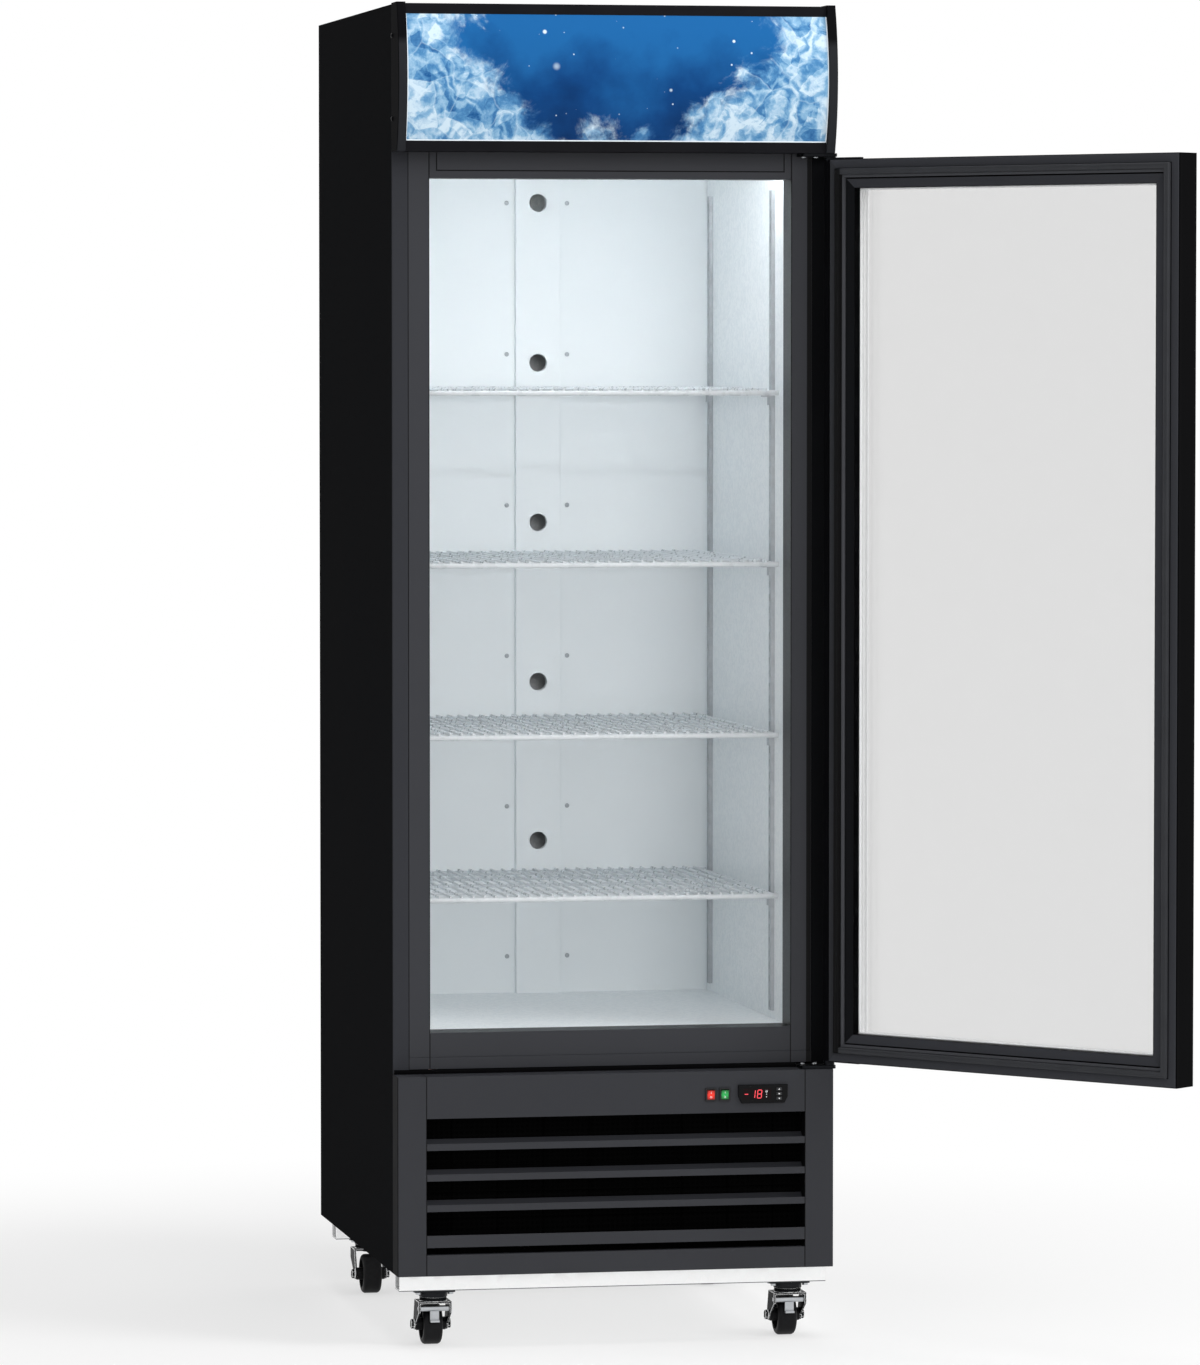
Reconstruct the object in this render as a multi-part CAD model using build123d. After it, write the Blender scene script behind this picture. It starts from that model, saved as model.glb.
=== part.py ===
from build123d import *
import math
import os

# Upright display freezer with one glass door, on casters.
# Millimetres, +Z up, front towards -Y, origin on the floor under the middle of the insulated carcass.

# Overall cabinet
WIDTH = 685.0
CARCASS_DEPTH = 748.0
SIDE_TOP = 2065.0
SKIN = 1.2
FRONT_FLANGE = 25.0
REAR_FLANGE = 18.0
BEND_RADIUS = 2.0

# Heights of the main levels above the floor
CASTER_HEIGHT = 88.0
BEAM_HEIGHT = 26.0
BASE_SHEET = 2.0
LOWER_TOP = 422.0
ROOF_GAP = 7.0
SILL_HEIGHT = 18.5
FLOOR_WALL = 56.0
ROOF_WALL = 65.0
CHAMBER_HEIGHT = 170.0
LINTEL_DROP = 30.0

# Door opening and cabin
SIDE_WALL = 58.5
BREAKER_DEPTH = 57.0
BACK_WALL = 58.0
DUCT_GAP = 50.0
SEAM = 0.8
INSET_SIDE = 11.5
INSET_LIFT = 12.0

# Air panel with its central duct cover
DUCT_COVER_WIDTH = 73.0
DUCT_COVER_DEPTH = 12.0
AIR_HOLE_RADIUS = 14.5
AIR_HOLE_DROP = 55.0
AIR_HOLE_PITCH = 260.0
AIR_HOLE_COUNT = 5

# Shelf standards, clips and wire shelves
STANDARD_WIDTH = 16.0
STANDARD_DEPTH = 6.0
STANDARD_SHEET = 1.2
STANDARD_FRONT = 126.0
STANDARD_REAR_INSET = 19.0
STANDARD_MARGIN = 14.0
SLOT_PITCH = 20.0
SLOT_WIDTH = 5.0
SLOT_HEIGHT = 11.0
CLIP_REACH = 13.0
CLIP_HEIGHT = 16.0
CLIP_SHEET = 3.0
SHELF_1 = 689.0
SHELF_2 = 941.0
SHELF_3 = 1208.0
SHELF_4 = 1475.0
SHELF_FRONT = 60.0
SHELF_REAR_GAP = 6.0
WIRE_RADIUS = 2.0
WIRE_PITCH = 17.8
BAR_RADIUS = 4.0
SIDE_ROD_RADIUS = 3.6
CROSS_BAR_RADIUS = 3.0
SIDE_ROD_INSET = 6.0
WELD_SINK = 0.8
WIRE_OVERHANG = 1.0
CROSS_BAR_COUNT = 3

# Header light box
HEADER_HEIGHT = 225.0
CAP_RISE = 2.0
FRONT_REACH = 47.0
SIGN_BULGE = 20.0
SIGN_SHEET = 2.5
RAIL_LIP = 16.0
RAIL_SHEET = 2.5
CAP_WIDTH = 14.0
CAP_PROUD = 3.0
CAP_EDGE = 2.0
LAMP_RADIUS = 8.0
LAMP_STANDOFF = 24.0
LAMP_SPACING = 105.0
HOLDER_WIDTH = 14.0
LAMP_END_GAP = 24.0

# Lower front: corner posts, control band, louvres, kick strip
POST_WIDTH = 45.0
CONTROL_HEIGHT = 65.0
LOUVRE_PITCH = 47.2
LOUVRE_LIP = 10.5
LOUVRE_DEPTH = 26.0
LOUVRE_RISE = 14.0
LOUVRE_SHEET = 1.5
LOUVRE_COUNT = 4
FIRST_GAP = 38.8
LAST_LIP = 18.8
KICK_HEIGHT = 32.4
RETURN_LIP = 12.0

# Rocker switches
RED_X = 148.0
GREEN_X = 170.0
CONTROL_Z = 386.0
SWITCH_WIDTH = 17.0
SWITCH_HEIGHT = 20.0
SWITCH_PROUD = 3.0
SWITCH_DEPTH = 20.0
SWITCH_LIP = 1.0
SWITCH_CLEAR = 0.1
ROCKER_WIDTH = 11.6
ROCKER_HEIGHT = 14.0
ROCKER_CLEAR = 0.4
ROCKER_TILT = 8.0
ROCKER_PROUD = 3.0
ROCKER_DISH = 1.35
ROCKER_TAPER = 0.7
PIVOT_SINK = 2.0
PIVOT_RADIUS = 1.2
RUNNING_CLEAR = 0.05

# Digital controller
CONTROLLER_X = 230.0
CONTROLLER_WIDTH = 77.7
CONTROLLER_HEIGHT = 28.5
CONTROLLER_TAPER = 5.0
CONTROLLER_PROUD = 6.0
CONTROLLER_DEPTH = 45.0
CONTROLLER_LIP = 3.0
WINDOW_WIDTH = 44.0
WINDOW_HEIGHT = 17.0
WINDOW_SHIFT = -10.0
WINDOW_SHEET = 1.5
BUTTON_WIDTH = 9.0
BUTTON_HEIGHT = 5.0
BUTTON_PITCH = 7.2
BUTTON_SHIFT = 25.0
BUTTON_LENGTH = 5.0
BUTTON_PROUD = 0.9
BUTTON_EDGE = 0.5
BUTTON_CLEAR = 0.3
BUTTON_TRAVEL = 0.8
BUTTON_COUNT = 3

# Base beams and casters
BEAM_DEPTH = 42.0
BEAM_SHEET = 2.0
BEAM_HALF = 336.0
REAR_BEAM = 645.0
CASTER_X = 280.0
CASTER_TRAIL = 24.0
WHEEL_RADIUS = 31.75
WHEEL_WIDTH = 30.0
TREAD_ROUND = 6.0
HUB_RADIUS = 10.0
HUB_LENGTH = 45.4
WEB_THICKNESS = 14.0
WEB_RADIUS = 23.0
AXLE_RADIUS = 4.0
NUT_FLATS = 13.0
NUT_HEIGHT = 5.0
FORK_WIDTH = 52.0
FORK_SHEET = 3.0
FORK_HALF_DEPTH = 20.0
FORK_SKIRT = 17.0
FORK_EYE = 9.0
WHEEL_HEADROOM = 4.5
RACE_RADIUS = 22.0
RACE_HEIGHT = 7.5
RACE_GAP = 0.3
RACE_STEP = 1.0
KINGPIN_RADIUS = 6.0
KINGPIN_HEAD = 9.0
KINGPIN_HEAD_HEIGHT = 2.5
PLATE_X = 64.0
PLATE_Y = 40.0
PLATE_SHEET = 2.5
PLATE_ROUND = 4.0
BOLT_X = 25.0
BOLT_Y = 13.0
BOLT_RADIUS = 3.0
BOLT_CLEAR = 0.2
BOLT_FLATS = 8.0
BOLT_HEAD = 3.5
PEDAL_Y = 13.0
PEDAL_DROP = 8.0
PEDAL_BARREL = 4.5
PEDAL_PIN = 2.5
PEDAL_WIDTH = 14.0
PEDAL_LENGTH = 21.0
PEDAL_SHEET = 3.0
PEDAL_TOE = 6.0
PEDAL_SIDE_GAP = 1.0

# Door
DOOR_BOTTOM_GAP = 13.0
DOOR_TOP_GAP = 9.5
DOOR_MARGIN = 20.0
DOOR_GAP = 8.0
DOOR_THICKNESS = 48.0
DOOR_OPEN = 131.0
FRAME_FACE = 45.0
FRAME_BAND = 28.5
GROOVE_DEPTH = 6.0
GROOVE_WIDTH = 2.0
INNER_DROP = 3.0
INNER_SLOPE = 2.5
OUTER_LIP = 3.0
GLASS_SHEET = 4.0
GLASS_SPACE = 6.0
GLASS_BITE = 10.5
SETTING_GAP = 0.5
SPACER_WIDTH = 8.0
FRAME_EDGE = 2.0
GASKET_INSET = 14.5
GASKET_WIDTH = 10.0
GASKET_CLEAR = 0.4
GASKET_ROUND = 2.5
HANDLE_LENGTH = 460.0
HANDLE_WIDTH = 18.0
HANDLE_THICKNESS = 11.0
HANDLE_STANDOFF = 20.0
HANDLE_INSET = 32.0
HANDLE_POST = 16.0
HANDLE_EDGE = 4.0

# Hinges
PIVOT_FROM_SIDE = 4.0
PIVOT_FROM_FACE = 33.0
PIN_RADIUS = 5.0
PIN_BITE = 20.0
PIN_END_GAP = 1.0
KNUCKLE_RADIUS = 9.0
KNUCKLE_CAP = 2.5
ARM_SHEET = 3.0
ARM_WIDTH = 16.0
ARM_LAP = 44.0
COLLAR_RADIUS = 8.5
COLLAR_CLEAR = 0.3
BRACKET_SHEET = 5.0
BRACKET_WIDTH = 56.0
BRACKET_REACH = 43.0
BRACKET_EDGE = 10.0
BRACKET_ROUND = 8.0

# Machine bay
CONDENSER_WIDTH = 380.0
CONDENSER_HEIGHT = 270.0
CONDENSER_DEPTH = 64.0
CONDENSER_X = 90.0
COIL_END = 2.0
FIN_SHEET = 0.8
FIN_PITCH = 16.0
FIN_INSET = 2.0
TUBE_RADIUS = 5.0
TUBE_PITCH = 50.0
COMPRESSOR_X = -150.0
COMPRESSOR_FROM_BACK = 254.0
COMPRESSOR_RADIUS = 82.0
COMPRESSOR_HEIGHT = 190.0
COMPRESSOR_DOME = 30.0
FOOT_PLATE = 200.0
FOOT_SHEET = 3.0
FOOT_HEIGHT = 14.0
FOOT_RADIUS = 13.0
FOOT_INSET = 18.0
PAN_WIDTH = 230.0
PAN_DEPTH = 200.0
PAN_HEIGHT = 36.0
PAN_X = 170.0
PAN_FROM_BACK = 194.0
PAN_WALL = 2.0
BOX_WIDTH = 90.0
BOX_DEPTH = 150.0
BOX_HEIGHT = 130.0
BOX_FROM_FACE = 194.0
BOX_Z = 300.0
PIPE_RADIUS = 4.0
PIPE_BEND = 22.0
DRIER_RADIUS = 11.0
DRIER_LENGTH = 90.0
GLAND_X = 250.0
GLAND_Z = 170.0
GLAND_RADIUS = 13.0
GLAND_BORE = 5.0
GLAND_WALL = 2.0
GLAND_LENGTH = 16.0
GLAND_COLLAR = 4.0
VENT_ROWS = 9
VENT_PITCH = 22.0
VENT_HEIGHT = 6.0
VENT_LENGTH = 150.0
VENT_COLUMNS = 3
VENT_SPACING = 185.0

# Evaporator in the chamber above the ceiling panel
EVAPORATOR_WIDTH = 440.0
EVAPORATOR_HEIGHT = 130.0
EVAPORATOR_DEPTH = 170.0
EVAPORATOR_FROM_BACK = 226.0
INTAKE_COUNT = 12
INTAKE_PITCH = 34.0
INTAKE_WIDTH = 12.0
INTAKE_LENGTH = 130.0

# Fans: plate, motor on four arms, blade wheel
CONDENSER_FAN = 105.0
EVAPORATOR_FAN = 62.0
FAN_TIP_GAP = 7.0
FAN_PLATE = 1.5
FAN_MARGIN = 14.0
FAN_BLADES = 5
FAN_PITCH = 30.0
BLADE_SHEET = 1.8
BLADE_DEPTH = 28.0
BLADE_FILL = 0.8
BLADE_BACK_GAP = 4.0
MOTOR_SHARE = 0.36
MOTOR_LENGTH = 46.0
ARM_WIDTH = 8.0
ARM_SHEET = 3.0
SHAFT_RADIUS = 4.0
HUB_WALL = 10.0

HALF_WIDTH = WIDTH / 2
FACE_Y = -CARCASS_DEPTH / 2
BACK_Y = CARCASS_DEPTH / 2
OPENING_HALF = HALF_WIDTH - SIDE_WALL
BASE_BOTTOM = CASTER_HEIGHT + BEAM_HEIGHT
BASE_TOP = BASE_BOTTOM + BASE_SHEET
BAY_ROOF = LOWER_TOP + ROOF_GAP
OPENING_BOTTOM = BAY_ROOF + FLOOR_WALL
DOOR_BOTTOM = LOWER_TOP + DOOR_BOTTOM_GAP
HEADER_BOTTOM = SIDE_TOP - HEADER_HEIGHT
HEADER_TOP = SIDE_TOP + CAP_RISE
DOOR_TOP = HEADER_BOTTOM - DOOR_TOP_GAP
CHAMBER_TOP = SIDE_TOP - ROOF_WALL
CEILING = CHAMBER_TOP - CHAMBER_HEIGHT
OPENING_TOP = CEILING - LINTEL_DROP
LOWER_FRONT = FACE_Y - FRONT_REACH
CABIN_FRONT = FACE_Y + BREAKER_DEPTH
CABIN_BACK = BACK_Y - BACK_WALL
AIR_PANEL_Y = CABIN_BACK - DUCT_GAP
SHELF_LEVELS = (SHELF_1, SHELF_2, SHELF_3, SHELF_4)
SHELF_HALF = OPENING_HALF - STANDARD_DEPTH
SHELF_REAR = AIR_PANEL_Y - DUCT_COVER_DEPTH - SHELF_REAR_GAP
STANDARD_REAR = SHELF_REAR - STANDARD_REAR_INSET
INNER_HALF = HALF_WIDTH - SKIN
CABIN_LAMP_HALF = OPENING_HALF - LAMP_END_GAP
COMPRESSOR_Y = BACK_Y - COMPRESSOR_FROM_BACK
PAN_Y = BACK_Y - PAN_FROM_BACK
BOX_Y = FACE_Y + BOX_FROM_FACE
EVAPORATOR_Y = CABIN_BACK - EVAPORATOR_FROM_BACK
PIVOT_X = HALF_WIDTH - PIVOT_FROM_SIDE
PIVOT_Y = FACE_Y - PIVOT_FROM_FACE

os.makedirs("parts", exist_ok=True)


def block(x, y, z):
    """Box between the low and high value given for each axis."""
    corner = Plane((x[0], y[0], z[0]))
    return Solid.make_box(x[1] - x[0], y[1] - y[0], z[1] - z[0], corner)


def rod_x(radius, x, y, z):
    """Round bar along X between the two values of x."""
    return Solid.make_cylinder(radius, x[1] - x[0], Plane((x[0], y, z), z_dir=(1, 0, 0)))


def rod_y(radius, x, y, z):
    """Round bar along Y between the two values of y."""
    return Solid.make_cylinder(radius, y[1] - y[0], Plane((x, y[0], z), z_dir=(0, 1, 0)))


def rod_z(radius, x, y, z):
    """Round bar along Z between the two values of z."""
    return Solid.make_cylinder(radius, z[1] - z[0], Plane((x, y, z[0])))


def hexagon_z(flats, x, y, z):
    """Hexagon bar along Z, given across its flats."""
    face = Pos(x, y, z[0]) * RegularPolygon(flats / math.sqrt(3), 6)
    return Solid.extrude(face.face(), Vector(0, 0, z[1] - z[0]))


def hexagon_x(flats, x, y, z):
    """Hexagon bar along X, given across its flats."""
    face = Plane((x[0], y, z), z_dir=(1, 0, 0)) * RegularPolygon(flats / math.sqrt(3), 6)
    return Solid.extrude(face.face(), Vector(x[1] - x[0], 0, 0))


def prism_x(outline, x):
    """Outline of (y, z) points run along X."""
    face = make_face(Polyline(*[(x[0], py, pz) for py, pz in outline], close=True))
    return Solid.extrude(face.face(), Vector(x[1] - x[0], 0, 0))


def prism_z(outline, z):
    """Outline of (x, y) points run along Z."""
    face = make_face(Polyline(*[(px, py, z[0]) for px, py in outline], close=True))
    return Solid.extrude(face.face(), Vector(0, 0, z[1] - z[0]))


def fused(*pieces):
    """Pieces joined into one solid."""
    return (Part() + [s for p in pieces for s in p.solids()]).solids()[0]


def mirrored(*pieces):
    """The same pieces on the other side of the cabinet's middle."""
    return [p.mirror(Plane.YZ) for p in pieces]


def save(node, *pieces):
    """Write the solids of one node."""
    solids = [s for p in pieces for s in p.solids()]
    export_step(solids[0] if len(solids) == 1 else Compound(solids), f"parts/{node}.step")


def ring(section, x_half, z_low, z_high, depth):
    """Four mitred bars round a rectangle. The section is (inward, y) points and depth its inward reach."""
    bars = []
    centre = (z_low + z_high) / 2
    tall = (z_high - z_low) / 2
    for turn in range(4):
        half, reach = (x_half, tall) if turn % 2 == 0 else (tall, x_half)
        bar = prism_x([(y, inward) for inward, y in section], (-half, half))
        corners = [(-half, 0), (half, 0), (half - depth, depth), (depth - half, depth)]
        low = min(y for _, y in section)
        high = max(y for _, y in section)
        face = make_face(Polyline(*[(u, low, s) for u, s in corners], close=True))
        mitre = Solid.extrude(face.face(), Vector(0, high - low, 0))
        cut = (bar & mitre).solids()[0]
        bars.append(Pos(0, 0, centre) * Rot(0, 90 * turn, 0) * Pos(0, 0, -reach) * cut)
    return bars


def open_door(piece):
    """Swing a piece of the closed door to the open pose."""
    return piece.rotate(Axis((PIVOT_X, PIVOT_Y, 0), (0, 0, 1)), DOOR_OPEN)


# Outer skins: side panels bent at front and rear, top, rear panel, bay roof, base pan

def side_panel():
    outline = [
        (-HALF_WIDTH, FACE_Y),
        (-HALF_WIDTH + FRONT_FLANGE, FACE_Y),
        (-HALF_WIDTH + FRONT_FLANGE, FACE_Y + SKIN),
        (-HALF_WIDTH + SKIN, FACE_Y + SKIN),
        (-HALF_WIDTH + SKIN, BACK_Y - SKIN),
        (-HALF_WIDTH + REAR_FLANGE, BACK_Y - SKIN),
        (-HALF_WIDTH + REAR_FLANGE, BACK_Y),
        (-HALF_WIDTH, BACK_Y),
    ]
    panel = prism_z(outline, (BASE_BOTTOM, SIDE_TOP))
    corners = panel.edges().filter_by(Axis.Z).group_by(Axis.X)[0]
    return fillet(corners, BEND_RADIUS)


def service_cover():
    x = (REAR_FLANGE - HALF_WIDTH, HALF_WIDTH - REAR_FLANGE)
    cover = block(x, (BACK_Y - SKIN, BACK_Y), (BASE_BOTTOM, BAY_ROOF))
    middle = (BASE_BOTTOM + BAY_ROOF) / 2
    slots = []
    for column in range(VENT_COLUMNS):
        x = (column - (VENT_COLUMNS - 1) / 2) * VENT_SPACING
        for row in range(VENT_ROWS):
            z = middle + (row - (VENT_ROWS - 1) / 2) * VENT_PITCH
            if abs(x - GLAND_X) < VENT_LENGTH / 2 + GLAND_RADIUS and abs(z - GLAND_Z) < 2 * GLAND_RADIUS:
                continue
            slots.append(
                block(
                    (x - VENT_LENGTH / 2, x + VENT_LENGTH / 2),
                    (BACK_Y - 2 * SKIN, BACK_Y + SKIN),
                    (z - VENT_HEIGHT / 2, z + VENT_HEIGHT / 2),
                )
            )
    gland = rod_y(GLAND_BORE + GLAND_WALL, GLAND_X, (BACK_Y - 2 * SKIN, BACK_Y + SKIN), GLAND_Z)
    return (cover - slots) - gland


def mains_gland():
    wall = (BACK_Y, BACK_Y + GLAND_COLLAR)
    inside = (wall[1] - GLAND_LENGTH, BACK_Y)
    collar = rod_y(GLAND_RADIUS, GLAND_X, wall, GLAND_Z)
    barrel = rod_y(GLAND_BORE + GLAND_WALL, GLAND_X, inside, GLAND_Z)
    bore = rod_y(GLAND_BORE, GLAND_X, (inside[0], wall[1]), GLAND_Z)
    return fused(collar, barrel) - bore


left_panel = side_panel()
save("side_panels", left_panel, *mirrored(left_panel))
rear_x = (REAR_FLANGE - HALF_WIDTH, HALF_WIDTH - REAR_FLANGE)
save("rear_panel", block(rear_x, (BACK_Y - SKIN, BACK_Y), (BAY_ROOF, SIDE_TOP)))
save("rear_service_cover", service_cover())
save("mains_gland", mains_gland())
inner_plan = ((-INNER_HALF, INNER_HALF), (FACE_Y + SKIN, BACK_Y - SKIN))
save(
    "top_and_bay_roof",
    block(*inner_plan, (SIDE_TOP - SKIN, SIDE_TOP)),
    block(*inner_plan, (BAY_ROOF, BAY_ROOF + SKIN)),
)
save("base_pan", block(*inner_plan, (BASE_BOTTOM, BASE_TOP)))

# Insulation: six foam slabs between the outer skins and the liner

liner_out = OPENING_HALF + SKIN
foam_low = BAY_ROOF + SKIN
foam_high = SIDE_TOP - SKIN
front_plane = FACE_Y + SKIN
back_plane = BACK_Y - SKIN
left_foam = block((-INNER_HALF, -liner_out), (front_plane, back_plane), (foam_low, foam_high))
foam_middle = (-liner_out, liner_out)
save(
    "insulation_foam",
    left_foam,
    *mirrored(left_foam),
    block(foam_middle, (CABIN_BACK + SKIN, back_plane), (foam_low, foam_high)),
    block(foam_middle, (front_plane, CABIN_BACK + SKIN), (foam_low, OPENING_BOTTOM - SKIN)),
    block(foam_middle, (front_plane, CABIN_BACK + SKIN), (CHAMBER_TOP + SKIN, foam_high)),
    block(foam_middle, (front_plane, CABIN_FRONT - SKIN), (OPENING_TOP + SKIN, CHAMBER_TOP + SKIN)),
)

# Liner sheets of the cabin and of the evaporator chamber above it

liner_left = block(
    (-liner_out, -OPENING_HALF), (CABIN_FRONT, CABIN_BACK + SKIN), (OPENING_BOTTOM - SKIN, CHAMBER_TOP + SKIN)
)
cabin_x = (-OPENING_HALF, OPENING_HALF)
save(
    "inner_liner",
    liner_left,
    *mirrored(liner_left),
    block(cabin_x, (CABIN_BACK, CABIN_BACK + SKIN), (OPENING_BOTTOM - SKIN, CHAMBER_TOP + SKIN)),
    block(cabin_x, (CABIN_FRONT, CABIN_BACK), (OPENING_BOTTOM - SKIN, OPENING_BOTTOM)),
    block(cabin_x, (CABIN_FRONT, CABIN_BACK), (CHAMBER_TOP, CHAMBER_TOP + SKIN)),
    block(foam_middle, (CABIN_FRONT - SKIN, CABIN_FRONT), (OPENING_TOP + SKIN, CHAMBER_TOP + SKIN)),
)

# Face frame: stiles, top rail with an engraved inset, bottom rail and sill, all folded steel strip

def v_seam(edges):
    """Bevel along a joint between two plates."""
    return chamfer(edges, SEAM)


def stile():
    x = (FRONT_FLANGE - HALF_WIDTH, -OPENING_HALF)
    plate = block(x, (FACE_Y, front_plane), (BAY_ROOF + SILL_HEIGHT, SIDE_TOP))
    outer = plate.edges().filter_by(Axis.Z).group_by(Axis.Y)[0].sort_by(Axis.X)[0]
    return v_seam(outer)


def top_rail():
    plate = block(cabin_x, (FACE_Y, front_plane), (OPENING_TOP, SIDE_TOP))
    plate = v_seam(plate.edges().filter_by(Axis.Z).group_by(Axis.Y)[0])
    half = OPENING_HALF - INSET_SIDE
    low = OPENING_TOP + INSET_LIFT
    high = HEADER_BOTTOM + SEAM
    groove = (FACE_Y, FACE_Y + SKIN / 2)
    for x in (-half, half):
        plate = plate - block((x - SEAM / 2, x + SEAM / 2), groove, (low, high))
    return plate - block((-half, half), groove, (low - SEAM / 2, low + SEAM / 2))


left_stile = stile()
sill_x = (FRONT_FLANGE - HALF_WIDTH, HALF_WIDTH - FRONT_FLANGE)
sill = block(sill_x, (FACE_Y, front_plane), (BAY_ROOF, BAY_ROOF + SILL_HEIGHT))
sill_top = sill.edges().filter_by(Axis.X).group_by(Axis.Y)[0].sort_by(Axis.Z)[-1]
save(
    "front_frame",
    left_stile,
    *mirrored(left_stile),
    top_rail(),
    block(cabin_x, (FACE_Y, front_plane), (BAY_ROOF + SILL_HEIGHT, OPENING_BOTTOM)),
    v_seam(sill_top),
)

# Thermal-break strips: black plastic lining the throat of the opening

strip_left = block(
    (-liner_out, -OPENING_HALF), (front_plane, CABIN_FRONT), (OPENING_BOTTOM - SKIN, OPENING_TOP + SKIN)
)
throat = (front_plane, CABIN_FRONT)
save(
    "breaker_strips",
    strip_left,
    *mirrored(strip_left),
    block(cabin_x, throat, (OPENING_BOTTOM - SKIN, OPENING_BOTTOM)),
    block(cabin_x, throat, (OPENING_TOP, OPENING_TOP + SKIN)),
)

# Rear air panel and its central duct cover, with one row of round air holes

air_holes = [
    rod_y(
        AIR_HOLE_RADIUS,
        0,
        (AIR_PANEL_Y - 2 * DUCT_COVER_DEPTH, AIR_PANEL_Y + 2 * SKIN),
        CEILING - AIR_HOLE_DROP - step * AIR_HOLE_PITCH,
    )
    for step in range(AIR_HOLE_COUNT)
]
panel_z = (OPENING_BOTTOM, CEILING)
air_panel = block(cabin_x, (AIR_PANEL_Y, AIR_PANEL_Y + SKIN), panel_z)
cover_half = DUCT_COVER_WIDTH / 2
cover_front = AIR_PANEL_Y - DUCT_COVER_DEPTH
duct_cover = block((-cover_half, cover_half), (cover_front, AIR_PANEL_Y), panel_z) - block(
    (SKIN - cover_half, cover_half - SKIN), (cover_front + SKIN, AIR_PANEL_Y), panel_z
)
save("rear_air_panel", air_panel - air_holes, duct_cover - air_holes)

# Ceiling panel under the evaporator, with intake slots near the door

def ceiling_panel():
    panel = block(cabin_x, (CABIN_FRONT, CABIN_BACK), (CEILING, CEILING + SKIN))
    start = CABIN_FRONT + INTAKE_PITCH
    slots = []
    for step in range(INTAKE_COUNT):
        x = (step - (INTAKE_COUNT - 1) / 2) * INTAKE_PITCH
        slots.append(
            block(
                (x - INTAKE_WIDTH / 2, x + INTAKE_WIDTH / 2),
                (start, start + INTAKE_LENGTH),
                (CEILING - SKIN, CEILING + 2 * SKIN),
            )
        )
    outlet = block(
        (INTAKE_PITCH - OPENING_HALF, OPENING_HALF - INTAKE_PITCH),
        (AIR_PANEL_Y + 2 * SKIN, CABIN_BACK - 2 * SKIN),
        (CEILING - SKIN, CEILING + 2 * SKIN),
    )
    return panel - slots - outlet


save("ceiling_panel", ceiling_panel())

# Shelf standards: slotted channels on the side walls, and the clips that hook into them

standard_low = OPENING_BOTTOM + STANDARD_MARGIN
standard_high = OPENING_TOP - STANDARD_MARGIN
standard_face = OPENING_HALF - STANDARD_DEPTH


def standard(y):
    half = STANDARD_WIDTH / 2
    z = (standard_low, standard_high)
    channel = block((standard_face, OPENING_HALF), (y - half, y + half), z) - block(
        (standard_face + STANDARD_SHEET, OPENING_HALF),
        (y - half + STANDARD_SHEET, y + half - STANDARD_SHEET),
        z,
    )
    slots = []
    for step in range(int((standard_high - standard_low) / SLOT_PITCH)):
        low = standard_low + (step + 0.5) * SLOT_PITCH - SLOT_HEIGHT / 2
        slots.append(
            block(
                (standard_face - STANDARD_SHEET, standard_face + 2 * STANDARD_SHEET),
                (y - SLOT_WIDTH / 2, y + SLOT_WIDTH / 2),
                (low, low + SLOT_HEIGHT),
            )
        )
    return channel - slots


standard_rows = (FACE_Y + STANDARD_FRONT, STANDARD_REAR)
right_standards = [standard(y) for y in standard_rows]
save("shelf_standards", *right_standards, *mirrored(*right_standards))

rod_drop = WIRE_RADIUS + BAR_RADIUS - WELD_SINK


def clip(y, level):
    top = level - rod_drop - SIDE_ROD_RADIUS
    reach = (standard_face - CLIP_REACH, standard_face)
    width = (y - STANDARD_WIDTH / 2, y + STANDARD_WIDTH / 2)
    ledge = block(reach, width, (top - CLIP_SHEET, top))
    back = block((standard_face - CLIP_SHEET, standard_face), width, (top - CLIP_HEIGHT, top))
    return fused(ledge, back)


right_clips = [clip(y, level) for y in standard_rows for level in SHELF_LEVELS]
save("shelf_clips", *right_clips, *mirrored(*right_clips))

# Wire shelf: rods welded on cross bars inside a frame of thicker bars

def wire_shelf():
    low = FACE_Y + SHELF_FRONT + BAR_RADIUS
    high = SHELF_REAR - BAR_RADIUS
    side = standard_face - SIDE_ROD_INSET
    bar_z = -rod_drop
    cross_z = WELD_SINK - WIRE_RADIUS - CROSS_BAR_RADIUS
    rods = [rod_x(BAR_RADIUS, (-SHELF_HALF, SHELF_HALF), y, bar_z) for y in (low, high)]
    rods += [rod_y(SIDE_ROD_RADIUS, x, (low, high), bar_z) for x in (-side, side)]
    for step in range(CROSS_BAR_COUNT):
        y = low + (high - low) * (step + 1) / (CROSS_BAR_COUNT + 1)
        rods.append(rod_x(CROSS_BAR_RADIUS, (-side, side), y, cross_z))
    count = int(2 * (side - WIRE_PITCH / 2) / WIRE_PITCH) + 1
    for step in range(count):
        x = (step - (count - 1) / 2) * WIRE_PITCH
        rods.append(rod_y(WIRE_RADIUS, x, (low - WIRE_OVERHANG, high + WIRE_OVERHANG), 0))
    return fused(*rods)


shelf = wire_shelf()
save("wire_shelves", *[Pos(0, 0, level) * shelf for level in SHELF_LEVELS])

# Header light box: end caps, rails, bowed sign, white reflector

sign_low = HEADER_BOTTOM + RAIL_LIP
sign_high = SIDE_TOP - RAIL_LIP
sign_middle = (sign_low + sign_high) / 2
box_front = FACE_Y - FRONT_REACH
sign_x = HALF_WIDTH - CAP_WIDTH


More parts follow.
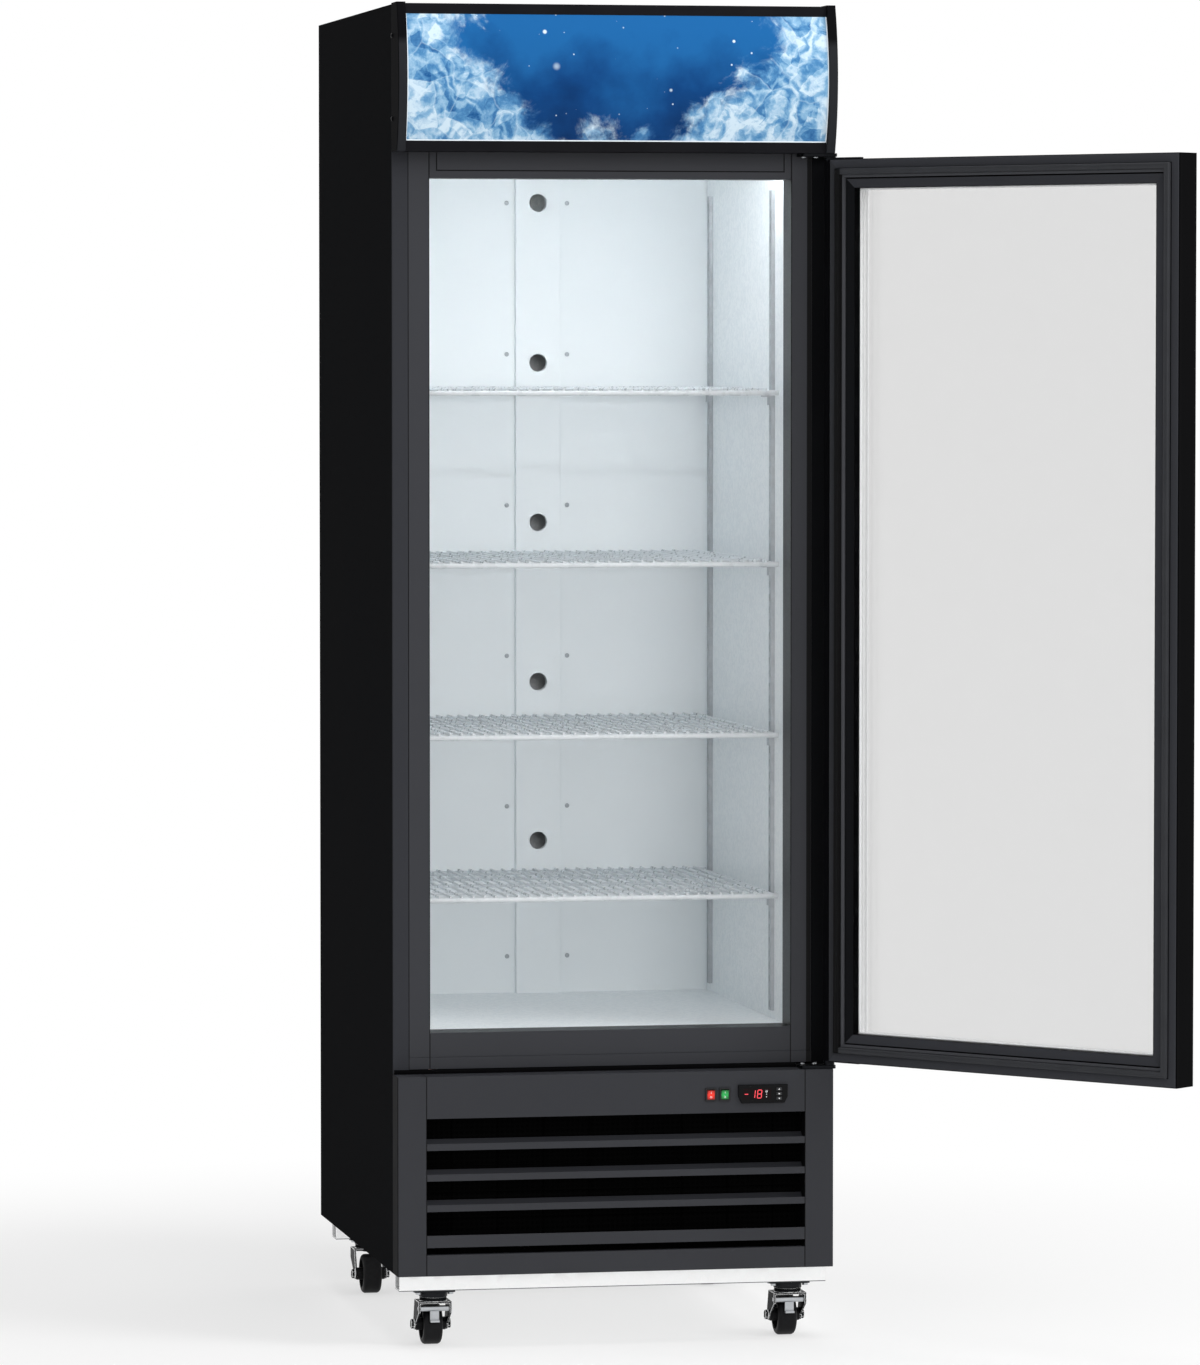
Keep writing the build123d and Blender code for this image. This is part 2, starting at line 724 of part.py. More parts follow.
def bowed(front, low, high, bulge, depth_points):
    """Face with a bowed front edge through three points and straight edges through depth_points."""
    middle = (low + high) / 2
    bow = ThreePointArc((0, front, low), (0, front - bulge, middle), (0, front, high))
    rest = Polyline((0, front, high), *[(0, y, z) for y, z in depth_points], (0, front, low))
    return make_face([bow, rest]).face()


def sign_panel():
    outer = ThreePointArc(
        (0, box_front, sign_low), (0, box_front - SIGN_BULGE, sign_middle), (0, box_front, sign_high)
    )
    back = box_front + SIGN_SHEET
    inner = ThreePointArc((0, back, sign_low), (0, back - SIGN_BULGE, sign_middle), (0, back, sign_high))
    ends = [
        Line((0, box_front, sign_low), (0, back, sign_low)),
        Line((0, box_front, sign_high), (0, back, sign_high)),
    ]
    face = Pos(-sign_x, 0, 0) * make_face([outer, inner, *ends]).face()
    return Solid.extrude(face, Vector(2 * sign_x, 0, 0))


def end_cap():
    face = bowed(
        box_front - CAP_PROUD,
        HEADER_BOTTOM,
        HEADER_TOP,
        SIGN_BULGE,
        [(FACE_Y, HEADER_TOP), (FACE_Y, HEADER_BOTTOM)],
    )
    cap = Solid.extrude(Pos(-HALF_WIDTH, 0, 0) * face, Vector(CAP_WIDTH, 0, 0))
    front = cap.faces().filter_by(GeomType.CYLINDER)
    return fillet(front.edges().filter_by(GeomType.CIRCLE), CAP_EDGE)


def header_rail(low, lip_low):
    """Rail with an upright lip at the front and a shelf running back to the face."""
    x = (-sign_x, sign_x)
    lip = block(x, (box_front, box_front + RAIL_SHEET), (lip_low, lip_low + RAIL_LIP))
    shelf_sheet = block(x, (box_front, FACE_Y), (low, low + RAIL_SHEET))
    return fused(lip, shelf_sheet)


left_cap = end_cap()
save("header_end_caps", left_cap, *mirrored(left_cap))
save("header_rails", header_rail(HEADER_BOTTOM, HEADER_BOTTOM), header_rail(SIDE_TOP - RAIL_SHEET, sign_high))
save("sign_panel", sign_panel())
save(
    "header_reflector",
    block(
        (-sign_x, sign_x), (FACE_Y - SKIN, FACE_Y), (HEADER_BOTTOM + RAIL_SHEET, SIDE_TOP - RAIL_SHEET)
    ),
)

# Lamps: two tubes in the header between their holders, one bar over the door inside the cabin

lamp_y = FACE_Y - LAMP_STANDOFF
lamp_half = sign_x - HOLDER_WIDTH
lamps = []
for z in (sign_middle - LAMP_SPACING / 2, sign_middle + LAMP_SPACING / 2):
    lamps.append(rod_x(LAMP_RADIUS, (-lamp_half, lamp_half), lamp_y, z))
    holder = block(
        (lamp_half, sign_x), (lamp_y - LAMP_RADIUS, FACE_Y - SKIN), (z - LAMP_RADIUS, z + LAMP_RADIUS)
    )
    lamps += [holder, *mirrored(holder)]
cabin_lamp = block(
    (-CABIN_LAMP_HALF, CABIN_LAMP_HALF),
    (CABIN_FRONT, CABIN_FRONT + 2 * LAMP_RADIUS),
    (CEILING - 2 * LAMP_RADIUS, CEILING),
)
save("led_lamps", *lamps, cabin_lamp)

# Lower front: folded corner posts, control band, louvre slats and kick strip

post_inner = HALF_WIDTH - POST_WIDTH


def corner_post():
    x = (-HALF_WIDTH, -post_inner)
    shell = block(x, (LOWER_FRONT, FACE_Y), (BASE_BOTTOM, LOWER_TOP))
    edge = shell.edges().filter_by(Axis.Z).group_by(Axis.Y)[0].sort_by(Axis.X)[0]
    shell = fillet(edge, BEND_RADIUS)
    hollow = block(
        (x[0] + SKIN, x[1] - SKIN), (LOWER_FRONT + SKIN, FACE_Y), (BASE_BOTTOM, LOWER_TOP - SKIN)
    )
    edge = hollow.edges().filter_by(Axis.Z).group_by(Axis.Y)[0].sort_by(Axis.X)[0]
    return shell - fillet(edge, BEND_RADIUS - SKIN / 2)


band_x = (-post_inner, post_inner)
band_low = LOWER_TOP - CONTROL_HEIGHT


def switch_hole(x):
    half = SWITCH_WIDTH / 2 - SWITCH_LIP
    tall = SWITCH_HEIGHT / 2 - SWITCH_LIP
    depth = (LOWER_FRONT - SKIN, LOWER_FRONT + 2 * SKIN)
    return block((x - half, x + half), depth, (CONTROL_Z - tall, CONTROL_Z + tall))


def controller_hole(depth):
    half = CONTROLLER_WIDTH / 2 - CONTROLLER_LIP - CONTROLLER_TAPER
    tall = CONTROLLER_HEIGHT / 2 - CONTROLLER_LIP
    return block((CONTROLLER_X - half, CONTROLLER_X + half), depth, (CONTROL_Z - tall, CONTROL_Z + tall))


def control_band():
    plate = block(band_x, (LOWER_FRONT, LOWER_FRONT + SKIN), (band_low, LOWER_TOP))
    top = block(band_x, (LOWER_FRONT, FACE_Y), (LOWER_TOP - SKIN, LOWER_TOP))
    lip = block(band_x, (LOWER_FRONT, LOWER_FRONT + RETURN_LIP), (band_low, band_low + SKIN))
    band = fused(plate, top, lip)
    for x in (RED_X, GREEN_X):
        band = band - switch_hole(x)
    return band - controller_hole((LOWER_FRONT - SKIN, LOWER_FRONT + 2 * SKIN))


def louvre(top, lip):
    """Slat with an upright front lip and a blade that rises towards the back."""
    low = top - lip
    outline = [
        (LOWER_FRONT, low),
        (LOWER_FRONT, top),
        (LOWER_FRONT + LOUVRE_SHEET, top),
        (LOWER_FRONT + LOUVRE_SHEET, low + LOUVRE_SHEET),
        (LOWER_FRONT + LOUVRE_DEPTH, low + LOUVRE_RISE + LOUVRE_SHEET),
        (LOWER_FRONT + LOUVRE_DEPTH, low + LOUVRE_RISE),
        (LOWER_FRONT + LOUVRE_SHEET, low),
    ]
    return prism_x(outline, band_x)


slats = []
for step in range(LOUVRE_COUNT):
    last = step == LOUVRE_COUNT - 1
    slats.append(louvre(band_low - FIRST_GAP - step * LOUVRE_PITCH, LAST_LIP if last else LOUVRE_LIP))
kick_top = BASE_BOTTOM + KICK_HEIGHT
kick = fused(
    block(band_x, (LOWER_FRONT, LOWER_FRONT + SKIN), (BASE_BOTTOM, kick_top)),
    block(band_x, (LOWER_FRONT, LOWER_FRONT + RETURN_LIP), (kick_top - SKIN, kick_top)),
)
left_post = corner_post()
save("corner_posts", left_post, *mirrored(left_post))
save("control_band", control_band())
save("lower_grille", *slats, kick)

# Rocker switches: black housing pushed through the band, coloured rocker on two stub pins

switch_front = LOWER_FRONT - SWITCH_PROUD
pivot_y = switch_front + PIVOT_SINK
rocker_half = ROCKER_WIDTH / 2


def switch_housing(x):
    half = SWITCH_WIDTH / 2
    tall = SWITCH_HEIGHT / 2
    bezel = block((x - half, x + half), (switch_front, LOWER_FRONT), (CONTROL_Z - tall, CONTROL_Z + tall))
    inner = half - SWITCH_LIP - SWITCH_CLEAR
    inner_tall = tall - SWITCH_LIP - SWITCH_CLEAR
    body = block(
        (x - inner, x + inner),
        (LOWER_FRONT, LOWER_FRONT + SWITCH_DEPTH),
        (CONTROL_Z - inner_tall, CONTROL_Z + inner_tall),
    )
    pocket_half = rocker_half + ROCKER_CLEAR
    sweep_radius = math.hypot(ROCKER_HEIGHT / 2, ROCKER_PROUD)
    pocket_tall = sweep_radius + ROCKER_CLEAR
    pocket = block(
        (x - pocket_half, x + pocket_half),
        (switch_front, LOWER_FRONT + SWITCH_DEPTH / 2),
        (CONTROL_Z - pocket_tall, CONTROL_Z + pocket_tall),
    )
    ends = (x - pocket_half - PIVOT_RADIUS, x + pocket_half + PIVOT_RADIUS)
    return fused(bezel, body) - pocket - rod_x(PIVOT_RADIUS + RUNNING_CLEAR, ends, pivot_y, CONTROL_Z)


def rocker(x):
    tall = ROCKER_HEIGHT / 2
    outline = [
        (pivot_y - ROCKER_PROUD, CONTROL_Z - tall),
        (pivot_y - ROCKER_PROUD + ROCKER_DISH, CONTROL_Z),
        (pivot_y - ROCKER_PROUD, CONTROL_Z + tall),
        (pivot_y + ROCKER_PROUD, CONTROL_Z + tall - ROCKER_TAPER),
        (pivot_y + 2 * ROCKER_PROUD, CONTROL_Z),
        (pivot_y + ROCKER_PROUD, CONTROL_Z - tall + ROCKER_TAPER),
    ]
    body = prism_x(outline, (x - rocker_half, x + rocker_half))
    reach = rocker_half + ROCKER_CLEAR + PIVOT_RADIUS - 2 * RUNNING_CLEAR
    pins = rod_x(PIVOT_RADIUS, (x - reach, x + reach), pivot_y, CONTROL_Z)
    return fused(body, pins).rotate(Axis((x, pivot_y, CONTROL_Z), (1, 0, 0)), ROCKER_TILT)


save("switch_housings", switch_housing(RED_X), switch_housing(GREEN_X))
save("rocker_red", rocker(RED_X))
save("rocker_green", rocker(GREEN_X))

# Digital controller: bezel with drawn-in lower corners, dark window, three push buttons

controller_front = LOWER_FRONT - CONTROLLER_PROUD
button_x = CONTROLLER_X + BUTTON_SHIFT
button_places = [CONTROL_Z + (step - (BUTTON_COUNT - 1) / 2) * BUTTON_PITCH for step in range(BUTTON_COUNT)]
window_x = CONTROLLER_X + WINDOW_SHIFT


def controller_case():
    half = CONTROLLER_WIDTH / 2
    tall = CONTROLLER_HEIGHT / 2
    outline = [
        (-half, tall),
        (half, tall),
        (half, -tall + 2 * CONTROLLER_TAPER),
        (half - CONTROLLER_TAPER, -tall),
        (CONTROLLER_TAPER - half, -tall),
        (-half, -tall + 2 * CONTROLLER_TAPER),
    ]
    points = [(CONTROLLER_X + u, controller_front, CONTROL_Z + w) for u, w in outline]
    face = make_face(Polyline(*points, close=True)).face()
    bezel = Solid.extrude(face, Vector(0, CONTROLLER_PROUD, 0))
    rim = bezel.faces().sort_by(Axis.Y)[0].edges()
    bezel = fillet(rim, CONTROLLER_LIP / 2)
    body = controller_hole((LOWER_FRONT, LOWER_FRONT + CONTROLLER_DEPTH))
    case = fused(bezel, body)
    case = case - block(
        (window_x - WINDOW_WIDTH / 2, window_x + WINDOW_WIDTH / 2),
        (controller_front, controller_front + WINDOW_SHEET),
        (CONTROL_Z - WINDOW_HEIGHT / 2, CONTROL_Z + WINDOW_HEIGHT / 2),
    )
    for z in button_places:
        half = BUTTON_WIDTH / 2 + BUTTON_CLEAR
        tall = BUTTON_HEIGHT / 2 + BUTTON_CLEAR
        deep = controller_front + BUTTON_LENGTH - BUTTON_PROUD + BUTTON_TRAVEL + BUTTON_CLEAR
        case = case - block(
            (button_x - half, button_x + half), (controller_front, deep), (z - tall, z + tall)
        )
    return case


def button(z):
    front = controller_front - BUTTON_PROUD
    cap = block(
        (button_x - BUTTON_WIDTH / 2, button_x + BUTTON_WIDTH / 2),
        (front, front + BUTTON_LENGTH),
        (z - BUTTON_HEIGHT / 2, z + BUTTON_HEIGHT / 2),
    )
    return fillet(cap.faces().sort_by(Axis.Y)[0].edges(), BUTTON_EDGE)


save("controller_case", controller_case())
save(
    "controller_window",
    block(
        (window_x - WINDOW_WIDTH / 2, window_x + WINDOW_WIDTH / 2),
        (controller_front, controller_front + WINDOW_SHEET),
        (CONTROL_Z - WINDOW_HEIGHT / 2, CONTROL_Z + WINDOW_HEIGHT / 2),
    ),
)
for number, z in enumerate(button_places, 1):
    save(f"controller_button_{number}", button(z))

# Base beams: galvanised channels, open side up, bolted to the casters

beam_rows = (FACE_Y, FACE_Y + REAR_BEAM)
corners = [(side * CASTER_X, y) for y in beam_rows for side in (-1, 1)]
bolt_places = [(cx + sx * BOLT_X, cy + sy * BOLT_Y) for cx, cy in corners for sx in (-1, 1) for sy in (-1, 1)]


def beam(y):
    half = BEAM_DEPTH / 2
    x = (-BEAM_HALF, BEAM_HALF)
    channel = block(x, (y - half, y + half), (CASTER_HEIGHT, BASE_BOTTOM)) - block(
        x, (y - half + BEAM_SHEET, y + half - BEAM_SHEET), (CASTER_HEIGHT + BEAM_SHEET, BASE_BOTTOM)
    )
    z = (CASTER_HEIGHT - BEAM_SHEET, CASTER_HEIGHT + 2 * BEAM_SHEET)
    holes = [rod_z(BOLT_RADIUS + BOLT_CLEAR, bx, by, z) for bx, by in bolt_places if abs(by - y) < half]
    return channel - holes


save("caster_beams", *[beam(y) for y in beam_rows])

# Casters: fixed plate with kingpin, swivelling fork with axle, wheel, brake pedal on the front pair

plate_low = CASTER_HEIGHT - PLATE_SHEET
race_low = plate_low - RACE_HEIGHT
bridge_low = 2 * WHEEL_RADIUS + WHEEL_HEADROOM
bridge_high = bridge_low + FORK_SHEET
pedal_z = bridge_low - PEDAL_DROP


def caster_plate():
    plate = block((-PLATE_X / 2, PLATE_X / 2), (-PLATE_Y / 2, PLATE_Y / 2), (plate_low, CASTER_HEIGHT))
    plate = fillet(plate.edges().filter_by(Axis.Z), PLATE_ROUND)
    z = (plate_low - PLATE_SHEET, CASTER_HEIGHT + PLATE_SHEET)
    for sx in (-BOLT_X, BOLT_X):
        for sy in (-BOLT_Y, BOLT_Y):
            plate = plate - rod_z(BOLT_RADIUS + BOLT_CLEAR, sx, sy, z)
    head_low = bridge_low - RACE_GAP - KINGPIN_HEAD_HEIGHT
    race = rod_z(RACE_RADIUS, 0, 0, (race_low, plate_low))
    pin = rod_z(KINGPIN_RADIUS, 0, 0, (head_low, race_low))
    head = rod_z(KINGPIN_HEAD, 0, 0, (head_low, head_low + KINGPIN_HEAD_HEIGHT))
    return fused(plate, race, pin, head)


def fork(trail, braked):
    half = FORK_WIDTH / 2
    lead = -math.copysign(FORK_HALF_DEPTH, trail)
    heel = math.copysign(FORK_HALF_DEPTH, trail)
    eye = math.copysign(FORK_EYE, trail)
    side = [
        (lead, bridge_high),
        (heel, bridge_high),
        (trail + eye, WHEEL_RADIUS),
        (trail - eye, WHEEL_RADIUS),
        (lead, bridge_high - FORK_SKIRT),
    ]
    pieces = []
    for x in ((-half, FORK_SHEET - half), (half - FORK_SHEET, half)):
        pieces.append(prism_x(side, x))
        pieces.append(rod_x(FORK_EYE, x, trail, WHEEL_RADIUS))
    pieces.append(block((-half, half), (-FORK_HALF_DEPTH, FORK_HALF_DEPTH), (bridge_low, bridge_high)))
    pieces.append(rod_z(RACE_RADIUS - RACE_STEP, 0, 0, (bridge_high, race_low - RACE_GAP)))
    bore = rod_z(KINGPIN_RADIUS + RUNNING_CLEAR, 0, 0, (bridge_low - FORK_SHEET, race_low))
    body = fused(*pieces) - bore - rod_x(AXLE_RADIUS, (-half, half), trail, WHEEL_RADIUS)
    if braked:
        hole = PEDAL_PIN + RUNNING_CLEAR
        body = body - rod_x(hole, (-half, half), -math.copysign(PEDAL_Y, trail), pedal_z)
    return body


def axle(trail):
    half = FORK_WIDTH / 2
    bar = rod_x(AXLE_RADIUS, (-half, half), trail, WHEEL_RADIUS)
    nuts = [
        hexagon_x(NUT_FLATS, x, trail, WHEEL_RADIUS)
        for x in ((-half - NUT_HEIGHT, -half), (half, half + NUT_HEIGHT))
    ]
    return fused(bar, *nuts)


def wheel(trail):
    half = WHEEL_WIDTH / 2
    web = WEB_THICKNESS / 2
    hub = HUB_LENGTH / 2
    bore = AXLE_RADIUS + RUNNING_CLEAR
    outline = [
        (bore, -hub),
        (HUB_RADIUS, -hub),
        (HUB_RADIUS, -web),
        (WEB_RADIUS, -web),
        (WEB_RADIUS, -half),
        (WHEEL_RADIUS, -half),
        (WHEEL_RADIUS, half),
        (WEB_RADIUS, half),
        (WEB_RADIUS, web),
        (HUB_RADIUS, web),
        (HUB_RADIUS, hub),
        (bore, hub),
    ]
    face = make_face(Polyline(*[(x, 0, r) for r, x in outline], close=True)).face()
    body = Solid.revolve(face, 360, Axis.X)
    tread = body.edges().filter_by(GeomType.CIRCLE).sort_by(lambda e: e.radius)[-2:]
    return Pos(0, trail, WHEEL_RADIUS) * fillet(tread, TREAD_ROUND)


def brake_pedal(trail):
    y = -math.copysign(PEDAL_Y, trail)
    half = PEDAL_WIDTH / 2
    reach = FORK_WIDTH / 2 - FORK_SHEET - PEDAL_SIDE_GAP
    barrel = rod_x(PEDAL_BARREL, (-reach, reach), y, pedal_z)
    pin = rod_x(PEDAL_PIN, (-FORK_WIDTH / 2, FORK_WIDTH / 2), y, pedal_z)
    tongue = block(
        (-half, half), (y - PEDAL_SHEET / 2, y + PEDAL_SHEET / 2), (pedal_z - PEDAL_LENGTH, pedal_z)
    )
    toe = block(
        (-half, half),
        (y - PEDAL_SHEET / 2 - PEDAL_TOE, y),
        (pedal_z - PEDAL_LENGTH, pedal_z - PEDAL_LENGTH + PEDAL_SHEET),
    )
    return fused(barrel, pin, tongue, toe)


def caster_bolt(x, y):
    head = hexagon_z(BOLT_FLATS, x, y, (plate_low - BOLT_HEAD, plate_low))
    shank = rod_z(BOLT_RADIUS, x, y, (plate_low, CASTER_HEIGHT + BEAM_SHEET))
    top = CASTER_HEIGHT + BEAM_SHEET
    nut = hexagon_z(BOLT_FLATS, x, y, (top, top + BOLT_HEAD))
    return fused(head, shank, nut)


plate_solid = caster_plate()
save("caster_plates", *[Pos(x, y, 0) * plate_solid for x, y in corners])
save("caster_bolts", *[caster_bolt(x, y) for x, y in bolt_places])
for (x, y), place in zip(corners, ("front_left", "front_right", "rear_left", "rear_right")):
    at_front = place.startswith("front")
    trail = CASTER_TRAIL if at_front else -CASTER_TRAIL
    save(f"caster_fork_{place}", Pos(x, y, 0) * fork(trail, at_front), Pos(x, y, 0) * axle(trail))
    save(f"caster_wheel_{place}", Pos(x, y, 0) * wheel(trail))
    if at_front:
        save(f"brake_pedal_{place}", Pos(x, y, 0) * brake_pedal(trail))

# Door: mitred frame with a grooved inner side, gasket, triple glass, handle, hinge arms

door_half = HALF_WIDTH - DOOR_MARGIN
door_inner = FACE_Y - DOOR_GAP
door_outer = door_inner - DOOR_THICKNESS
glass_depth = 3 * GLASS_SHEET + 2 * GLASS_SPACE
glass_outer = door_outer + OUTER_LIP
glass_inner = glass_outer + glass_depth
pocket = FRAME_FACE - GLASS_BITE - SETTING_GAP
glass_edge = FRAME_FACE - GLASS_BITE


def on_pivot(radius, *ends):
    return rod_z(radius, PIVOT_X, PIVOT_Y, sorted(ends))


def door_frame():
    first = FRAME_BAND
    second = FRAME_BAND + GROOVE_WIDTH
    section = [
        (0, door_outer + FRAME_EDGE),
        (FRAME_EDGE, door_outer),
        (FRAME_FACE, door_outer),
        (FRAME_FACE, glass_outer),
        (pocket, glass_outer),
        (pocket, glass_inner),
        (FRAME_FACE, glass_inner),
        (FRAME_FACE, door_inner - INNER_DROP - INNER_SLOPE),
        (second, door_inner - INNER_DROP),
        (second, door_inner - GROOVE_DEPTH),
        (first, door_inner - GROOVE_DEPTH),
        (first, door_inner),
        (FRAME_EDGE, door_inner),
        (0, door_inner - FRAME_EDGE),
    ]
    return ring(section, door_half, DOOR_BOTTOM, DOOR_TOP, FRAME_FACE)


def door_gasket():
    low = GASKET_INSET
    high = GASKET_INSET + GASKET_WIDTH
    crown = FACE_Y - GASKET_CLEAR
    section = [
        (low, door_inner),
        (high, door_inner),
        (high, crown - GASKET_ROUND),
        (high - GASKET_ROUND, crown),
        (low + GASKET_ROUND, crown),
        (low, crown - GASKET_ROUND),
    ]
    inset = [(inward - low, y) for inward, y in section]
    return ring(inset, door_half - low, DOOR_BOTTOM + low, DOOR_TOP - low, GASKET_WIDTH)


def glass_pane(step):
    y = glass_outer + step * (GLASS_SHEET + GLASS_SPACE)
    half = door_half - glass_edge
    return block((-half, half), (y, y + GLASS_SHEET), (DOOR_BOTTOM + glass_edge, DOOR_TOP - glass_edge))


def glass_spacer(step):
    y = glass_outer + GLASS_SHEET + step * (GLASS_SHEET + GLASS_SPACE)
    section = [(0, y), (SPACER_WIDTH, y), (SPACER_WIDTH, y + GLASS_SPACE), (0, y + GLASS_SPACE)]
    edge = glass_edge + SETTING_GAP
    return ring(section, door_half - edge, DOOR_BOTTOM + edge, DOOR_TOP - edge, SPACER_WIDTH)


def door_handle():
    x = HANDLE_INSET - door_half
    middle = (DOOR_BOTTOM + DOOR_TOP) / 2
    half = HANDLE_WIDTH / 2
    outer = door_outer - HANDLE_STANDOFF - HANDLE_THICKNESS
    grip = block(
        (x - half, x + half),
        (outer, outer + HANDLE_THICKNESS),
        (middle - HANDLE_LENGTH / 2, middle + HANDLE_LENGTH / 2),
    )
    grip = fillet(grip.edges().filter_by(Axis.Z).group_by(Axis.Y)[0], HANDLE_EDGE)
    posts = []
    for end in (-1, 1):
        z = middle + end * (HANDLE_LENGTH / 2 - HANDLE_POST)
        posts.append(
            block(
                (x - half, x + half),
                (outer + HANDLE_THICKNESS, door_outer),
                (z - HANDLE_POST / 2, z + HANDLE_POST / 2),
            )
        )
    return fused(grip, *posts)


def hinge_arm(end, inward):
    """Plate on an end of the door, with a knuckle beside the door round the hinge pin."""
    mouth = end - inward * ARM_SHEET
    blind = end + inward * PIN_BITE
    half = ARM_WIDTH / 2
    plate = block((door_half - ARM_LAP, PIVOT_X), (PIVOT_Y - half, PIVOT_Y + half), sorted((mouth, end)))
    knuckle = on_pivot(KNUCKLE_RADIUS, mouth, blind + inward * KNUCKLE_CAP)
    return fused(plate, knuckle) - on_pivot(PIN_RADIUS + RUNNING_CLEAR, mouth, blind)


save("door_frame", *[open_door(p) for p in door_frame()])
save("door_gasket", *[open_door(p) for p in door_gasket()])
save("glass_panes", *[open_door(glass_pane(step)) for step in range(3)])
save("glass_spacers", *[open_door(bar) for step in range(2) for bar in glass_spacer(step)])
save("door_handle", open_door(door_handle()))
save("hinge_arms", open_door(hinge_arm(DOOR_BOTTOM, 1)), open_door(hinge_arm(DOOR_TOP, -1)))

# Hinge brackets: plates on the cabinet that carry the two hinge pins

def bracket(seat, end, inward):
    x_high = PIVOT_X + BRACKET_EDGE
    z = sorted((seat, seat + inward * BRACKET_SHEET))
    plate = block((x_high - BRACKET_WIDTH, x_high), (FACE_Y - BRACKET_REACH, FACE_Y), z)
    front = plate.edges().filter_by(Axis.Z).group_by(Axis.Y)[0]
    plate = fillet(front, BRACKET_ROUND)
    pin = on_pivot(PIN_RADIUS, seat, end + inward * (PIN_BITE - PIN_END_GAP))
    collar = on_pivot(COLLAR_RADIUS, seat, end - inward * (ARM_SHEET + COLLAR_CLEAR))
    return fused(plate, pin, collar)


save("hinge_brackets", bracket(LOWER_TOP, DOOR_BOTTOM, 1), bracket(HEADER_BOTTOM, DOOR_TOP, -1))

# Heat exchangers: fins on straight tubes between two end plates

def coil(width, height, depth, tube_rows):
    """Coil with its tubes along X, standing on z = 0 and centred on X and Y."""
    half = width / 2
    y = (-depth / 2, depth / 2)
    pieces = [
        block((-half, COIL_END - half), y, (0, height)),
        block((half - COIL_END, half), y, (0, height)),
    ]
    count = int((width - 2 * FIN_PITCH) / FIN_PITCH)
    for step in range(count):
        x = (step - (count - 1) / 2) * FIN_PITCH
        fin_y = (y[0] + FIN_INSET, y[1] - FIN_INSET)
        fin_z = (TUBE_RADIUS, height - TUBE_RADIUS)
        pieces.append(block((x - FIN_SHEET / 2, x + FIN_SHEET / 2), fin_y, fin_z))
    levels = int((height - TUBE_PITCH / 2) / TUBE_PITCH)
    for row in range(tube_rows):
        ty = (row - (tube_rows - 1) / 2) * depth / tube_rows
        for step in range(levels):
            z = height / 2 + (step - (levels - 1) / 2) * TUBE_PITCH
            pieces.append(rod_x(TUBE_RADIUS, (-half - 2 * TUBE_RADIUS, half + 2 * TUBE_RADIUS), ty, z))
    return fused(*pieces)


condenser_y = FACE_Y + CONDENSER_DEPTH / 2 + SKIN
evaporator_z = CEILING + SKIN
save(
    "condenser_coil",
    Pos(CONDENSER_X, condenser_y, BASE_TOP) * coil(CONDENSER_WIDTH, CONDENSER_HEIGHT, CONDENSER_DEPTH, 1),
)
save(
    "evaporator_coil",
    Pos(0, EVAPORATOR_Y, evaporator_z) * coil(EVAPORATOR_WIDTH, EVAPORATOR_HEIGHT, EVAPORATOR_DEPTH, 3),
)

# Fans: plate with a round mouth, motor carried behind it on four arms, blade wheel on the motor's shaft

def fan_mount(tip, wide, tall):
    """Mount with its plate's front at y = 0, standing on z = 0, its axis along Y at half its height."""
    mouth = tip + FAN_TIP_GAP
    middle = tall / 2
    plate = block((-wide / 2, wide / 2), (0, FAN_PLATE), (0, tall))
    plate = plate - rod_y(mouth, 0, (-FAN_PLATE, 2 * FAN_PLATE), middle)
    motor_front = FAN_PLATE + BLADE_DEPTH + BLADE_BACK_GAP
    motor = rod_y(tip * MOTOR_SHARE, 0, (motor_front, motor_front + MOTOR_LENGTH), middle)
    shaft = rod_y(SHAFT_RADIUS, 0, (FAN_PLATE, motor_front), middle)
    pieces = [plate, motor, shaft]
    arm_y = (motor_front + MOTOR_LENGTH / 2, motor_front + MOTOR_LENGTH / 2 + ARM_SHEET)
    for side in (-1, 1):
        far = side * (mouth + ARM_WIDTH)
        near = side * mouth
        pieces.append(
            block((min(0, far), max(0, far)), arm_y, (middle - ARM_WIDTH / 2, middle + ARM_WIDTH / 2))
        )
        pieces.append(
            block(
                (min(near, far), max(near, far)),
                (0, arm_y[1]),
                (middle - ARM_WIDTH / 2, middle + ARM_WIDTH / 2),
            )
        )
    return fused(*pieces)


def fan_blade(tip, tall):
    """Blade wheel for the same mount."""
    middle = tall / 2
    hub_radius = SHAFT_RADIUS + HUB_WALL
    y = (FAN_PLATE, FAN_PLATE + BLADE_DEPTH)
    centre = (y[0] + y[1]) / 2
    chord = BLADE_DEPTH * BLADE_FILL / math.sin(math.radians(FAN_PITCH))
    blades = []
    for step in range(FAN_BLADES):
        blade = block((0, tip), (-BLADE_SHEET / 2, BLADE_SHEET / 2), (-chord / 2, chord / 2))
        blade = blade.rotate(Axis.X, FAN_PITCH)
        blade = blade.rotate(Axis.Y, step * 360 / FAN_BLADES)
        blades.append(Pos(0, centre, middle) * blade)
    swept = rod_y(tip, 0, y, middle)
    wheel_body = fused(rod_y(hub_radius, 0, y, middle), *blades) & swept
    return wheel_body.solids()[0] - rod_y(SHAFT_RADIUS + RUNNING_CLEAR, 0, y, middle)


